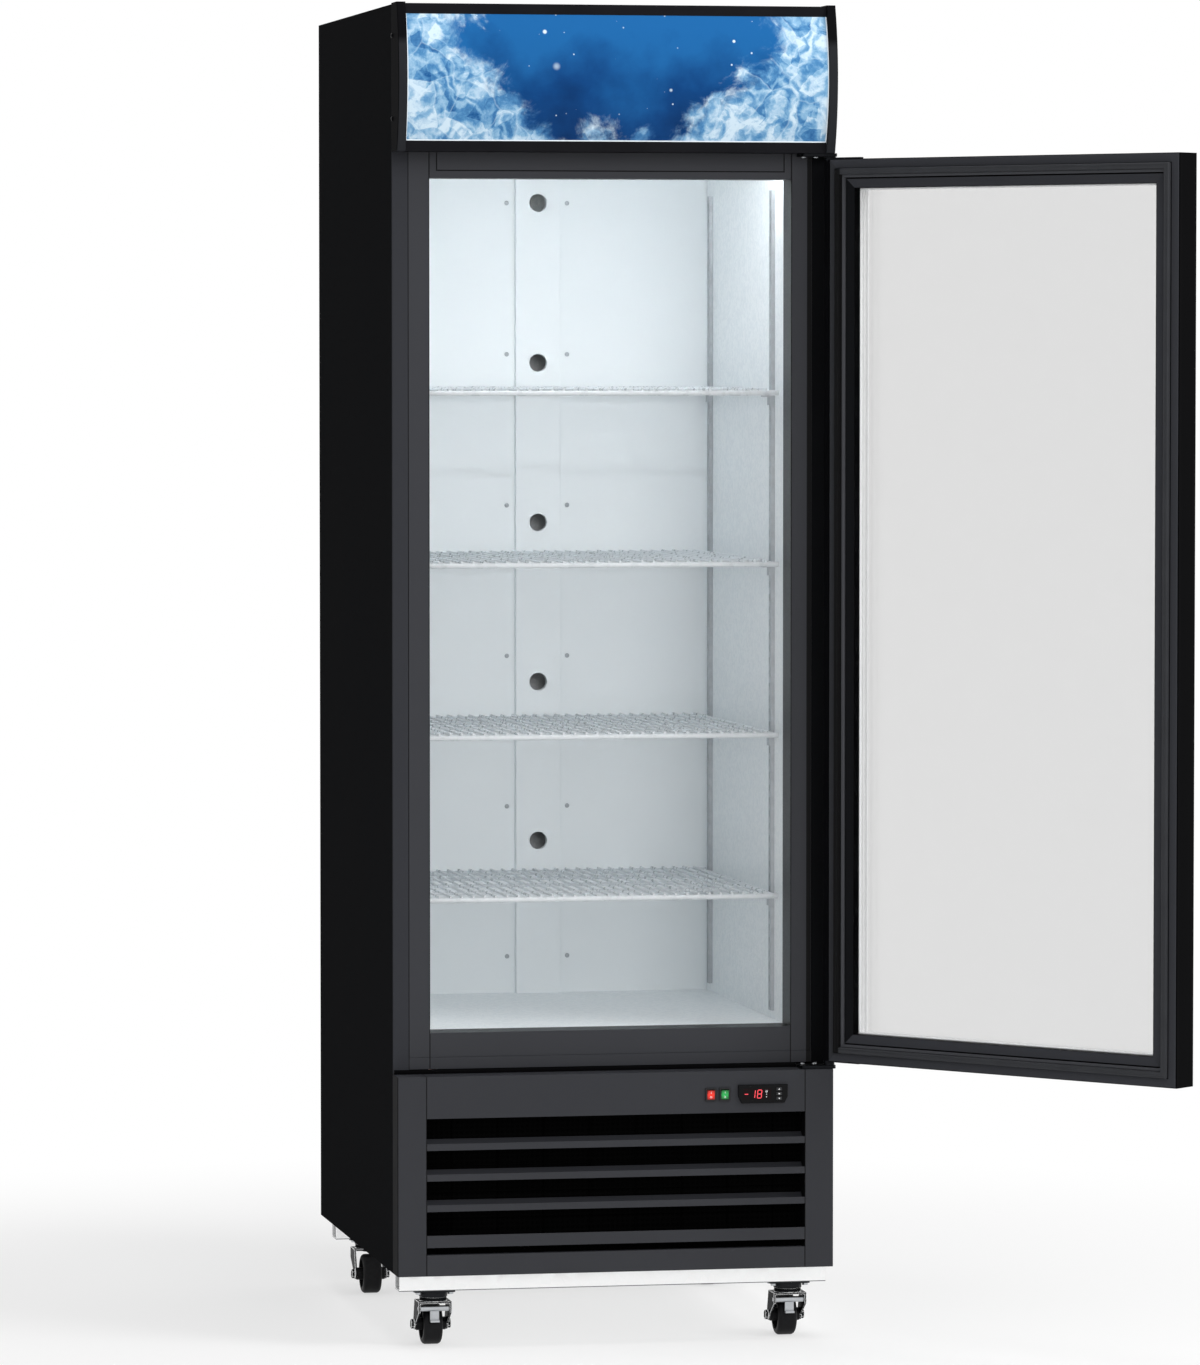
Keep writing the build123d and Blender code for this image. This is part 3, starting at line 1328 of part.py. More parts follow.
condenser_fan_y = FACE_Y + SKIN + CONDENSER_DEPTH
condenser_fan_wide = 2 * (CONDENSER_FAN + FAN_TIP_GAP + FAN_MARGIN)
evaporator_fan_y = EVAPORATOR_Y - EVAPORATOR_DEPTH / 2 - BLADE_DEPTH - 2 * MOTOR_LENGTH
evaporator_fan_wide = 2 * (EVAPORATOR_FAN + FAN_TIP_GAP + FAN_MARGIN)
evaporator_fan_tall = CHAMBER_TOP - evaporator_z
condenser_place = Pos(CONDENSER_X, condenser_fan_y, BASE_TOP)
evaporator_place = Pos(0, evaporator_fan_y, evaporator_z)
save(
    "fan_mounts",
    condenser_place * fan_mount(CONDENSER_FAN, condenser_fan_wide, CONDENSER_HEIGHT),
    evaporator_place * fan_mount(EVAPORATOR_FAN, evaporator_fan_wide, evaporator_fan_tall),
)
save("condenser_fan_blade", condenser_place * fan_blade(CONDENSER_FAN, CONDENSER_HEIGHT))
save("evaporator_fan_blade", evaporator_place * fan_blade(EVAPORATOR_FAN, evaporator_fan_tall))

# Compressor: domed steel pot on a foot plate and four rubber feet

foot_half = FOOT_PLATE / 2
foot_place = foot_half - FOOT_INSET


def compressor():
    low = BASE_TOP + FOOT_HEIGHT
    plate = block(
        (COMPRESSOR_X - foot_half, COMPRESSOR_X + foot_half),
        (COMPRESSOR_Y - foot_half, COMPRESSOR_Y + foot_half),
        (low, low + FOOT_SHEET),
    )
    pot = rod_z(COMPRESSOR_RADIUS, COMPRESSOR_X, COMPRESSOR_Y, (low + FOOT_SHEET, low + COMPRESSOR_HEIGHT))
    pot = fillet(pot.edges().filter_by(GeomType.CIRCLE).sort_by(Axis.Z)[-1], COMPRESSOR_DOME)
    return fused(plate, pot)


feet = [
    rod_z(FOOT_RADIUS, x, y, (BASE_TOP, BASE_TOP + FOOT_HEIGHT))
    for x in (COMPRESSOR_X - foot_place, COMPRESSOR_X + foot_place)
    for y in (COMPRESSOR_Y - foot_place, COMPRESSOR_Y + foot_place)
]
save("compressor", compressor(), *feet)

# Copper pipes: discharge line to the condenser, suction line up to the bay roof, liquid line with its drier

pot_top = BASE_TOP + FOOT_HEIGHT + COMPRESSOR_HEIGHT


def pipe(*points):
    route = FilletPolyline(*points, radius=PIPE_BEND)
    return sweep(Plane(origin=route @ 0, z_dir=route % 0) * Circle(PIPE_RADIUS), route).solids()[0]


discharge_x = COMPRESSOR_X + COMPRESSOR_RADIUS / 2
suction_x = COMPRESSOR_X - COMPRESSOR_RADIUS / 3
coil_left = CONDENSER_X - CONDENSER_WIDTH / 2 - 2 * TUBE_RADIUS
coil_levels = int((CONDENSER_HEIGHT - TUBE_PITCH / 2) / TUBE_PITCH)
coil_high = BASE_TOP + CONDENSER_HEIGHT / 2 + (coil_levels - 1) / 2 * TUBE_PITCH
coil_low = BASE_TOP + CONDENSER_HEIGHT / 2 - (coil_levels - 1) / 2 * TUBE_PITCH
pipe_left = coil_left - 2 * PIPE_BEND
lift = pot_top + 2 * PIPE_BEND
drier_y = condenser_y + CONDENSER_DEPTH + DRIER_LENGTH / 2
discharge = pipe(
    (discharge_x, COMPRESSOR_Y, pot_top),
    (discharge_x, COMPRESSOR_Y, lift),
    (discharge_x, COMPRESSOR_Y - 4 * PIPE_BEND, lift),
    (pipe_left, COMPRESSOR_Y - 4 * PIPE_BEND, coil_high),
    (pipe_left, condenser_y, coil_high),
    (coil_left, condenser_y, coil_high),
)
suction = pipe(
    (suction_x, COMPRESSOR_Y, pot_top),
    (suction_x, COMPRESSOR_Y, lift),
    (suction_x, BACK_Y - 3 * PIPE_BEND, lift),
    (suction_x, BACK_Y - 3 * PIPE_BEND, BAY_ROOF),
)
liquid = pipe(
    (coil_left, condenser_y, coil_low),
    (pipe_left, condenser_y, coil_low),
    (pipe_left, drier_y - DRIER_LENGTH / 2, coil_low),
)
drier = rod_y(DRIER_RADIUS, pipe_left, (drier_y - DRIER_LENGTH / 2, drier_y + DRIER_LENGTH / 2), coil_low)
save("copper_pipes", discharge, suction, liquid, drier)

# Condensate pan on the base, and the electrical box on the left wall

def condensate_pan():
    x = (PAN_X - PAN_WIDTH / 2, PAN_X + PAN_WIDTH / 2)
    y = (PAN_Y - PAN_DEPTH / 2, PAN_Y + PAN_DEPTH / 2)
    top = BASE_TOP + PAN_HEIGHT
    shell = block(x, y, (BASE_TOP, top))
    return shell - block(
        (x[0] + PAN_WALL, x[1] - PAN_WALL),
        (y[0] + PAN_WALL, y[1] - PAN_WALL),
        (BASE_TOP + PAN_WALL, top),
    )


save("condensate_pan", condensate_pan())
save(
    "electrical_box",
    block(
        (-INNER_HALF, BOX_WIDTH - INNER_HALF),
        (BOX_Y - BOX_DEPTH / 2, BOX_Y + BOX_DEPTH / 2),
        (BOX_Z - BOX_HEIGHT / 2, BOX_Z + BOX_HEIGHT / 2),
    ),
)
print("solids written")
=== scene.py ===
import math

import bmesh
import bpy
from mathutils import Matrix, Vector


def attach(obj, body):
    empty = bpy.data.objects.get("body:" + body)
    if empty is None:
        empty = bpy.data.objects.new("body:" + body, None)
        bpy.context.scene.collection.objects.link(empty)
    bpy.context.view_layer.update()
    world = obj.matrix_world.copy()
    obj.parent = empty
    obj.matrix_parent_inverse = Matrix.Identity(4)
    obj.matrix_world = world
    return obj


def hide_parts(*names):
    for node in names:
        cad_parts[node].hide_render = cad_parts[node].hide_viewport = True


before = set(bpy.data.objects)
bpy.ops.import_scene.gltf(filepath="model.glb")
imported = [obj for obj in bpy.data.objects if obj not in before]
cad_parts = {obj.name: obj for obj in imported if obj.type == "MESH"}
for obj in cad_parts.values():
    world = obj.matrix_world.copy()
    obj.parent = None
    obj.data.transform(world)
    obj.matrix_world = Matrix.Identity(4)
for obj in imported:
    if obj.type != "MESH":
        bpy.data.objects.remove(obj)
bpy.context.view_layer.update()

# The camera
# A long lens left of the open front, a little above half height, looking slightly down.
# Its place and lens come from a fit to the cabinet's straight edges.
scene = bpy.context.scene
scene.view_settings.view_transform = "Standard"
scene.cycles.diffuse_bounces = 10
camera = bpy.data.objects.new("camera", bpy.data.cameras.new("camera"))
camera.data.lens = 186.13
camera.data.sensor_width = 36.0
camera.data.clip_end = 200.0
camera.location = (-2.0644, -11.0708, 1.5515)
camera.rotation_euler = (math.radians(90 - 2.775), 0, math.radians(-10.833))
scene.collection.objects.link(camera)
scene.camera = camera


# The studio
# A pale floor that runs out into a white backdrop, with three large soft boxes: a key from the right front,
# a broad fill from the camera's side and a top light.
def linear(code):
    """Linear colour of an sRGB hex value."""
    parts = [int(code[i : i + 2], 16) / 255 for i in (0, 2, 4)]
    return [c / 12.92 if c <= 0.04045 else ((c + 0.055) / 1.055) ** 2.4 for c in parts] + [1.0]


def add(tree, kind, sockets=None, **settings):
    """Add one shader node with its settings, its values and its links.
    A link is given as a socket, or as a node whose first output in use is meant."""
    made = tree.nodes.new("ShaderNode" + kind)
    for name, value in settings.items():
        setattr(made, name, value)
    for name, value in (sockets or {}).items():
        if isinstance(value, bpy.types.Node):
            value = next(output for output in value.outputs if output.enabled)
        if isinstance(value, bpy.types.NodeSocket):
            tree.links.new(value, made.inputs[name])
        else:
            made.inputs[name].default_value = value
    return made


def seen(tree):
    """One where a ray comes from the camera, a reflection or a view through glass."""
    path = add(tree, "LightPath").outputs
    sight = path["Is Camera Ray"]
    for kind in ("Is Glossy Ray", "Is Transmission Ray"):
        sight = add(tree, "Math", {0: sight, 1: path[kind]}, operation="MAXIMUM")
    return sight


def new_finish(name):
    """An empty material, its node tree and the place on the piece in metres."""
    made = bpy.data.materials.new(name)
    made.use_nodes = True
    made.node_tree.nodes.clear()
    return made, made.node_tree, add(made.node_tree, "TexCoord").outputs["Object"]


world = bpy.data.worlds.new("white backdrop")
scene.world = world
world.use_nodes = True
tree = world.node_tree
tree.nodes.clear()
level = add(tree, "MapRange", {"Value": seen(tree), "To Min": 0.42, "To Max": 1.0})
sky = add(tree, "Background", {"Color": linear("FFFFFF"), "Strength": level})
add(tree, "OutputWorld", {"Surface": sky})

# Uncoated paper, matt; its fibre is under 1 mm and drawn at 12 mm so that it shows. It keeps the shadow near
# the cabinet and fades to white farther out.
PAPER_RADIUS = 14.0
WHITE_FROM, WHITE_TO = 1.0, 2.2
floor_finish, tree, place = new_finish("matte studio paper")
reach = add(tree, "VectorMath", {0: place}, operation="LENGTH")
fade = {"Value": reach, "From Min": WHITE_FROM, "From Max": WHITE_TO, "To Min": 0.58}
far = add(tree, "MapRange", fade, interpolation_type="SMOOTHSTEP")
away = add(tree, "Math", {0: far, 1: seen(tree)}, operation="MULTIPLY")
fibre = add(tree, "TexNoise", {"Vector": place, "Scale": 1000 / 12, "Detail": 3.0})
tone = add(tree, "Mix", {0: fibre, 6: linear("F3F3F3"), 7: linear("F7F7F7")}, data_type="RGBA")
paper = add(tree, "BsdfDiffuse", {"Color": tone})
glow = add(tree, "Emission", {"Color": linear("FFFFFF"), "Strength": 1.0})
add(tree, "OutputMaterial", {"Surface": add(tree, "MixShader", {0: away, 1: paper, 2: glow})})
floor_mesh = bpy.data.meshes.new("floor")
floor_shape = bmesh.new()
bmesh.ops.create_circle(floor_shape, cap_ends=True, radius=PAPER_RADIUS, segments=96)
floor_shape.to_mesh(floor_mesh)
floor_shape.free()
floor_mesh.materials.append(floor_finish)
floor = bpy.data.objects.new("floor", floor_mesh)
scene.collection.objects.link(floor)

for name, spot, aim, size, watts in (
    ("key", (4.2, -3.6, 3.9), (0.0, -0.2, 0.9), 2.2, 170.0),
    ("fill", (0.4, -7.5, 3.2), (0.1, -0.4, 1.0), 3.0, 150.0),
    ("top", (0.3, -0.6, 5.2), (0.1, -0.2, 0.0), 3.2, 105.0),
):
    lamp = bpy.data.objects.new(name, bpy.data.lights.new(name, "AREA"))
    lamp.data.size = size
    lamp.data.energy = watts
    lamp.location = spot
    lamp.rotation_euler = (Vector(aim) - Vector(spot)).to_track_quat("-Z", "Y").to_euler()
    lamp.visible_camera = False
    lamp.visible_glossy = False
    lamp.visible_transmission = False
    scene.collection.objects.link(lamp)

# Outer skins
# Two side panels folded from one sheet each, with the top and the machine bay's roof between them.
# Steel sheet with a matt black powder coat. On the sides the black is painted shade: the same paint as the
# charcoal face frame, darker where the sides go unlit. The folded front edge on the latch side is charcoal
# like the face frame; the hinge side's stays black as painted shade from the open door.
SIDE_FACE = 0.3417
FOLD_BACK, FOLD_FRONT = -0.3722, -0.3732
SEAM_HALF, SEAM_BLACK = 0.0009, "08080A"


def dress(finish, *names):
    """Give CAD nodes their finish."""
    for name in names:
        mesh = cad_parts[name].data
        mesh.materials.clear()
        mesh.materials.append(finish)


def powder_coat(
    name, dark, light, gloss, sheen, lit=0.0, folded=None, sides=None, seams=(), inset=None, hinge_shade_strip=None
):
    """Powder-coated steel: a satin skin with a slight orange peel and a faint cloudiness.
    The peel is about 2 mm on the real sheet and drawn at 5 mm so that it shows.
    lit is a painted glow, an emission that stands in for light passed on; folded the colour of the latch
    side's folded front edge, while the hinge side's keeps the base colour as painted shade; sides a darker
    colour painted as shade on the faces flush with the cabinet's sides; seams the dark joints at both sides
    of the middle; inset the half width and lower end of a let-in plate; and hinge_shade_strip the middle and
    half width of a black strip painted on the hinge side as the door's shade."""
    finish, tree, place = new_finish(name)
    axes = add(tree, "SeparateXYZ", {0: place}).outputs
    off_middle = add(tree, "Math", {0: axes["X"]}, operation="ABSOLUTE")
    marks = []
    if folded:
        front = add(tree, "MapRange", {"Value": axes["Y"], "From Min": FOLD_BACK, "From Max": FOLD_FRONT})
        # Only the latch side takes the fold's colour; the hinge side's keeps the base colour as painted
        # shade.
        latch = add(tree, "Math", {0: axes["X"], 1: 0.0}, operation="LESS_THAN")
        marks.append((add(tree, "Math", {0: front, 1: latch}, operation="MULTIPLY"), folded))
    if sides:
        # Painted shade: faces flush with the cabinet's sides take the darker colour.
        flush = add(tree, "Math", {0: off_middle, 1: SIDE_FACE}, operation="GREATER_THAN")
        marks.append((flush, sides))
        sheen = add(tree, "MapRange", {"Value": flush, "To Min": sheen, "To Max": 0.003})
    for seam in seams:
        joint = add(tree, "Math", {0: off_middle, 1: seam, 2: SEAM_HALF}, operation="COMPARE")
        marks.append((joint, SEAM_BLACK))
    if inset:
        past = add(tree, "Math", {0: off_middle, 1: inset[0]}, operation="SUBTRACT")
        under = add(tree, "Math", {0: inset[1], 1: axes["Z"]}, operation="SUBTRACT")
        outline = add(tree, "Math", {0: past, 1: under}, operation="MAXIMUM")
        joint = add(tree, "Math", {0: outline, 1: 0.0, 2: SEAM_HALF}, operation="COMPARE")
        marks.append((joint, SEAM_BLACK))
    # Painted shade: a black strip down the hinge side where the door shades it.
    if hinge_shade_strip:
        strip = add(tree, "Math", {0: axes["X"], 1: hinge_shade_strip[0], 2: hinge_shade_strip[1]}, operation="COMPARE")
        marks.append((strip, "050506"))
    cloud = add(tree, "TexNoise", {"Vector": place, "Scale": 1000 / 260, "Detail": 5.0, "Roughness": 0.6})
    tone = add(tree, "Mix", {0: cloud, 6: linear(dark), 7: linear(light)}, data_type="RGBA")
    for where, code in marks:
        tone = add(tree, "Mix", {0: where, 6: tone, 7: linear(code)}, data_type="RGBA")
    rough = add(tree, "MapRange", {"Value": cloud, "To Min": gloss - 0.08, "To Max": gloss + 0.08})
    peel = add(tree, "TexNoise", {"Vector": place, "Scale": 1000 / 5, "Detail": 2.0, "Roughness": 0.5})
    edge = add(tree, "Bevel", {"Radius": 0.0009}, samples=4)
    bump = add(tree, "Bump", {"Height": peel, "Strength": 0.10, "Distance": 0.0005, "Normal": edge})
    skin = {"Base Color": tone, "Roughness": rough, "Specular IOR Level": sheen, "Normal": bump}
    # lit: a painted glow, not a lamp.
    skin["Emission Strength"] = lit
    add(tree, "OutputMaterial", {"Surface": add(tree, "BsdfPrincipled", skin)})
    return finish


# Painted shade: the sides near-black against the charcoal front, the hinge side's folded edge left black.
black_steel = powder_coat("matt black powder-coated steel", "0B0B0C", "141517", 0.80, 0.003, folded="36373B")
dress(black_steel, "side_panels", "top_and_bay_roof")


# Rear skin
# The back sheet over the foam and the slotted cover of the machine bay, screwed to the side panels' flanges.
# The back sheet is bare galvanised steel, dull grey with patches of crystal about 14 mm across, and the cover
# has the matt black coat. A nylon gland takes the mains lead.
def plated(name, dark, light, smooth, coarse, grain):
    """Plated metal: a bright skin, patchy in tone and gloss at the size given in mm."""
    finish, tree, place = new_finish(name)
    patch = add(tree, "TexNoise", {"Vector": place, "Scale": 1000 / grain, "Detail": 4.0, "Roughness": 0.6})
    tone = add(tree, "Mix", {0: patch, 6: linear(dark), 7: linear(light)}, data_type="RGBA")
    rough = add(tree, "MapRange", {"Value": patch, "To Min": smooth, "To Max": coarse})
    edge = add(tree, "Bevel", {"Radius": 0.0005}, samples=4)
    bump = add(tree, "Bump", {"Height": patch, "Strength": 0.05, "Distance": 0.0003, "Normal": edge})
    skin = {"Base Color": tone, "Metallic": 1.0, "Roughness": rough, "Normal": bump}
    add(tree, "OutputMaterial", {"Surface": add(tree, "BsdfPrincipled", skin)})
    return finish


def moulded(name, dark, light, gloss, grain, sheen=0.4, shaded=None):
    """Moulded plastic: an even colour with a fine spark-eroded grain that breaks up the highlights.
    The grain is about 0.3 mm on the real piece and drawn at the size given in mm so that it shows.
    shaded gives the painted colour of a header cap's flat outer side, painted shade, and of its top, a
    painted reflection of the dark room it turns up to, and the heights between which the top darkens."""
    finish, tree, place = new_finish(name)
    flow = add(tree, "TexNoise", {"Vector": place, "Scale": 1000 / 70, "Detail": 3.0})
    tone = add(tree, "Mix", {0: flow, 6: linear(dark), 7: linear(light)}, data_type="RGBA")
    if shaded:
        code, low, high = shaded
        axes = add(tree, "SeparateXYZ", {0: place}).outputs
        off_middle = add(tree, "Math", {0: axes["X"]}, operation="ABSOLUTE")
        # Painted shade on the flat outer side and a painted reflection of the dark room on the top.
        flush = add(tree, "Math", {0: off_middle, 1: SIDE_FACE}, operation="GREATER_THAN")
        crown = add(tree, "MapRange", {"Value": axes["Z"], "From Min": low, "From Max": high})
        either = add(tree, "Math", {0: flush, 1: crown}, operation="MAXIMUM")
        tone = add(tree, "Mix", {0: either, 6: tone, 7: linear(code)}, data_type="RGBA")
        sheen = add(tree, "MapRange", {"Value": flush, "To Min": sheen, "To Max": 0.0003})
    pits = add(tree, "TexNoise", {"Vector": place, "Scale": 1000 / grain, "Detail": 2.0, "Roughness": 0.6})
    rough = add(tree, "MapRange", {"Value": pits, "To Min": gloss - 0.1, "To Max": gloss + 0.1})
    edge = add(tree, "Bevel", {"Radius": 0.0006}, samples=4)
    bump = add(tree, "Bump", {"Height": pits, "Strength": 0.12, "Distance": 0.0003, "Normal": edge})
    skin = {"Base Color": tone, "Roughness": rough, "Specular IOR Level": sheen, "Normal": bump}
    add(tree, "OutputMaterial", {"Surface": add(tree, "BsdfPrincipled", skin)})
    return finish


dress(plated("galvanised back sheet", "8E9194", "B4B7BA", 0.42, 0.58, 14), "rear_panel")
dress(powder_coat("black powder-coated cover", "0D0D0E", "171819", 0.65, 0.12), "rear_service_cover")
dress(moulded("moulded black nylon", "0C0C0D", "151516", 0.45, 2.0), "mains_gland")

# Face frame
# Four folded steel strips round the door opening, riveted to the outer skins over the foam.
# A charcoal powder coat, satin, with open seams beside the strips' folds that show as thin dark lines, and a
# black strip painted down the hinge side of the right stile as painted shade from the door.
charcoal_steel = powder_coat(
    "charcoal powder-coated steel",
    "323337",
    "38393D",
    0.42,
    0.18,
    seams=(0.3172, 0.2844),
    inset=(0.2725, 1.812),
    hinge_shade_strip=(0.3126, 0.0035),
)
dress(charcoal_steel, "front_frame")

# Insulation and liner
# Polyurethane foam blown between the outer skins and the cabin's liner: straw-coloured and dull, its cells
# under 1 mm and drawn at 6 mm so that they show. The liner is white-coated aluminium sheet with a stucco
# emboss of about 9 mm that keeps it stiff and scatters the light.
foam, tree, place = new_finish("polyurethane foam")
cells = add(tree, "TexVoronoi", {"Vector": place, "Scale": 1000 / 6})
tone = add(tree, "Mix", {0: cells, 6: linear("E0CF9A"), 7: linear("C9B272")}, data_type="RGBA")
bump = add(tree, "Bump", {"Height": cells, "Strength": 0.4, "Distance": 0.002})
skin = {"Base Color": tone, "Roughness": 0.9, "Normal": bump}
add(tree, "OutputMaterial", {"Surface": add(tree, "BsdfPrincipled", skin)})
dress(foam, "insulation_foam")

stucco, tree, place = new_finish("stucco-embossed white aluminium")
worms = add(tree, "TexNoise", {"Vector": place, "Scale": 1000 / 9, "Detail": 1.0, "Distortion": 1.2})
ridge = add(tree, "MapRange", {"Value": worms, "From Min": 0.42, "From Max": 0.58})
tone = add(tree, "Mix", {0: ridge, 6: linear("EEF2F4"), 7: linear("F6F9FA")}, data_type="RGBA")
rough = add(tree, "MapRange", {"Value": ridge, "To Min": 0.42, "To Max": 0.30})
bump = add(tree, "Bump", {"Height": ridge, "Strength": 0.35, "Distance": 0.0006})
skin = {"Base Color": tone, "Roughness": rough, "Normal": bump}
add(tree, "OutputMaterial", {"Surface": add(tree, "BsdfPrincipled", skin)})
dress(stucco, "inner_liner")

# Thermal-break strips
# Extruded strips that line the throat of the opening, snapped between the face frame and the liner.
# Black PVC, satin, which frames the white cabin with a dark edge.
dress(moulded("extruded black PVC", "0A0A0B", "121213", 0.40, 2.5, 0.25), "breaker_strips")

# Air panel and ceiling panel
# The rear air panel with its central duct cover and the slotted ceiling under the evaporator.
# Thin steel with a smooth white powder coat that goes faintly blue in the lamp's light.
white_steel = powder_coat("white powder-coated steel", "EDF1F3", "F5F8F9", 0.38, 0.4)
dress(white_steel, "rear_air_panel", "ceiling_panel")

# Shelf standards and clips
# Four slotted channels screwed to the side walls, and the clips that hook into them under each shelf.
# Rolled steel strip with a bright zinc plate, a little patchy in tone and gloss.
bright_zinc = plated("bright zinc-plated steel", "A9ACB0", "CDD0D3", 0.28, 0.46, 14)
dress(bright_zinc, "shelf_standards", "shelf_clips")

# Wire shelves
# Steel rods resistance-welded on cross bars inside a thicker frame, dipped in pale grey epoxy.
# The dip is glossy, with slight runs about 16 mm long.
epoxy, tree, place = new_finish("epoxy-dipped steel wire")
runs = add(tree, "TexNoise", {"Vector": place, "Scale": 1000 / 16, "Detail": 3.0})
tone = add(tree, "Mix", {0: runs, 6: linear("C4C9CD"), 7: linear("DADEE1")}, data_type="RGBA")
rough = add(tree, "MapRange", {"Value": runs, "To Min": 0.20, "To Max": 0.38})
bump = add(tree, "Bump", {"Height": runs, "Strength": 0.15, "Distance": 0.0004})
skin = {"Base Color": tone, "Roughness": rough, "Normal": bump}
add(tree, "OutputMaterial", {"Surface": add(tree, "BsdfPrincipled", skin)})
dress(epoxy, "wire_shelves")

# Header caps and rails
# Two moulded end caps with a bowed front, and the extruded rails that hold the sign between them.
# Black ABS, satin; its top is darkened as a painted reflection of the dark room and its flat outer side as
# painted shade, so the middle of the bow is paler; the rails are a shade darker.
# Heights between which the caps' tops darken as a painted reflection.
CROWN_LOW, CROWN_HIGH = 2.002, 2.014
crown = ("101012", CROWN_LOW, CROWN_HIGH)
dress(moulded("moulded black ABS", "232427", "2C2D30", 0.34, 2.0, 0.006, crown), "header_end_caps")
dress(moulded("extruded black ABS", "151517", "1E1E21", 0.5, 2.0, 0.004), "header_rails")

# Sign
# A bowed sheet of opal acrylic, printed on its back and lit from behind by two lamp tubes.
# The print is a frosted window: deep blue glass with feathered ice growing in from the ends and the sill, and
# snow falling behind it. The picture glows a little and keeps a soft satin gloss.
SIGN_LOW, SIGN_HIGH, SIGN_HALF = 1.856, 2.049, 0.3285
END_BORDER, FOOT_BORDER = 0.0016, 0.0018
sign, tree, place = new_finish("backlit printed acrylic")
axes = add(tree, "SeparateXYZ", {0: place}).outputs
flat = add(tree, "CombineXYZ", {"X": axes["X"], "Y": axes["Z"]})
height = add(tree, "MapRange", {"Value": axes["Z"], "From Min": SIGN_LOW, "From Max": SIGN_HIGH})
side = add(tree, "Math", {0: axes["X"]}, operation="ABSOLUTE")

drift = add(tree, "TexNoise", {"Vector": flat, "Scale": 1000 / 110, "Detail": 5.0, "Roughness": 0.55})
lift = add(tree, "Math", {0: height, 1: 0.55, 2: drift}, operation="MULTIPLY_ADD")
picture = add(tree, "ValToRGB", {0: lift})
stops = picture.color_ramp.elements
stops[0].position = 0.35
stops[0].color = linear("0A2B58")
stops[1].position = 1.15 / 1.2
stops[1].color = linear("1D5D98")
stops.new(0.62).color = linear("103F76")

for pitch, small, large, opacity in ((19, 0.05, 0.13, 0.75), (44, 0.04, 0.10, 0.9), (83, 0.05, 0.14, 0.5)):
    flakes = add(tree, "TexVoronoi", {"Vector": flat, "Scale": 1000 / pitch})
    spread = add(tree, "SeparateXYZ", {0: flakes.outputs["Color"]}).outputs["Y"]
    apart = add(tree, "Math", {0: flakes, 1: spread}, operation="DIVIDE")
    fade = {"Value": apart, "From Min": small, "From Max": large, "To Min": opacity, "To Max": 0.0}
    flake = add(tree, "MapRange", fade, interpolation_type="SMOOTHSTEP")
    picture = add(tree, "Mix", {0: flake, 6: picture, 7: linear("DCEEF9")}, data_type="RGBA")

bend = add(tree, "TexNoise", {"Vector": flat, "Scale": 1000 / 38, "Detail": 4.0}).outputs["Color"]
bent = add(tree, "VectorMath", {0: bend, 1: (0.022, 0.022, 0.0), 2: flat}, operation="MULTIPLY_ADD")
layers = []
for pitch, weight in ((58, 0.55), (21, 0.40)):
    facets = add(tree, "TexVoronoi", {"Vector": bent, "Scale": 1000 / pitch})
    facet = add(tree, "SeparateXYZ", {0: facets.outputs["Color"]}).outputs["X"]
    slope = add(tree, "Math", {0: facets, 1: 0.6, 2: facet}, operation="MULTIPLY_ADD")
    layers.append((slope, weight))
curls = {"Scale": 1000 / 34 / math.tau, "Distortion": 22.0, "Detail": 6.0, "Detail Scale": 3.0}
feathers = add(tree, "TexWave", {"Vector": bent, **curls}, bands_direction="DIAGONAL")
layers.append((feathers.outputs["Fac"], 0.45))
spines = {"Scale": 1000 / 9, "Detail": 7.0, "Roughness": 0.72, "Distortion": 1.8}
layers.append((add(tree, "TexNoise", {"Vector": bent, **spines}), 0.7))
frosted = 0.0
for layer, weight in layers:
    frosted = add(tree, "Math", {0: layer, 1: weight, 2: frosted}, operation="MULTIPLY_ADD")
frosted = add(tree, "MapRange", {"Value": frosted, "From Min": 0.45, "From Max": 1.85})
ice = add(tree, "ValToRGB", {0: frosted})
stops = ice.color_ramp.elements
stops[0].position = 0.12
stops[0].color = linear("1A5088")
stops[1].position = 0.92
stops[1].color = linear("C6D9E6")
stops.new(0.42).color = linear("4E84B2")
stops.new(0.64).color = linear("83ACCB")
cracks = add(tree, "TexVoronoi", {"Vector": bent, "Scale": 1000 / 58}, feature="DISTANCE_TO_EDGE")
crack = add(tree, "MapRange", {"Value": cracks, "From Max": 0.025, "To Min": 0.35, "To Max": 0.0})
ice = add(tree, "Mix", {0: crack, 6: ice, 7: linear("B9D0E0")}, data_type="RGBA")

from_end = add(tree, "MapRange", {"Value": side, "From Min": 0.08, "From Max": SIGN_HALF, "To Max": 0.95})
sill = add(tree, "MapRange", {"Value": height, "From Max": 0.75, "To Min": 0.62, "To Max": 0.0})
reach = add(tree, "Math", {0: from_end, 1: sill}, operation="ADD")
torn = {"Scale": 1000 / 60, "Detail": 7.0, "Roughness": 0.66, "Distortion": 0.5}
ragged = add(tree, "TexNoise", {"Vector": flat, **torn})
growth = add(tree, "Math", {0: ragged, 1: 0.9, 2: reach}, operation="MULTIPLY_ADD")
fade = {"Value": growth, "From Min": 0.98, "From Max": 1.20}
frost = add(tree, "MapRange", fade, interpolation_type="SMOOTHSTEP")
picture = add(tree, "Mix", {0: frost, 6: picture, 7: ice}, data_type="RGBA")
at_end = add(tree, "Math", {0: side, 1: SIGN_HALF - END_BORDER}, operation="GREATER_THAN")
at_foot = add(tree, "Math", {0: axes["Z"], 1: SIGN_LOW + FOOT_BORDER}, operation="LESS_THAN")
border = add(tree, "Math", {0: at_end, 1: at_foot}, operation="MAXIMUM")
picture = add(tree, "Mix", {0: border, 6: picture, 7: linear("E8F1F7")}, data_type="RGBA")
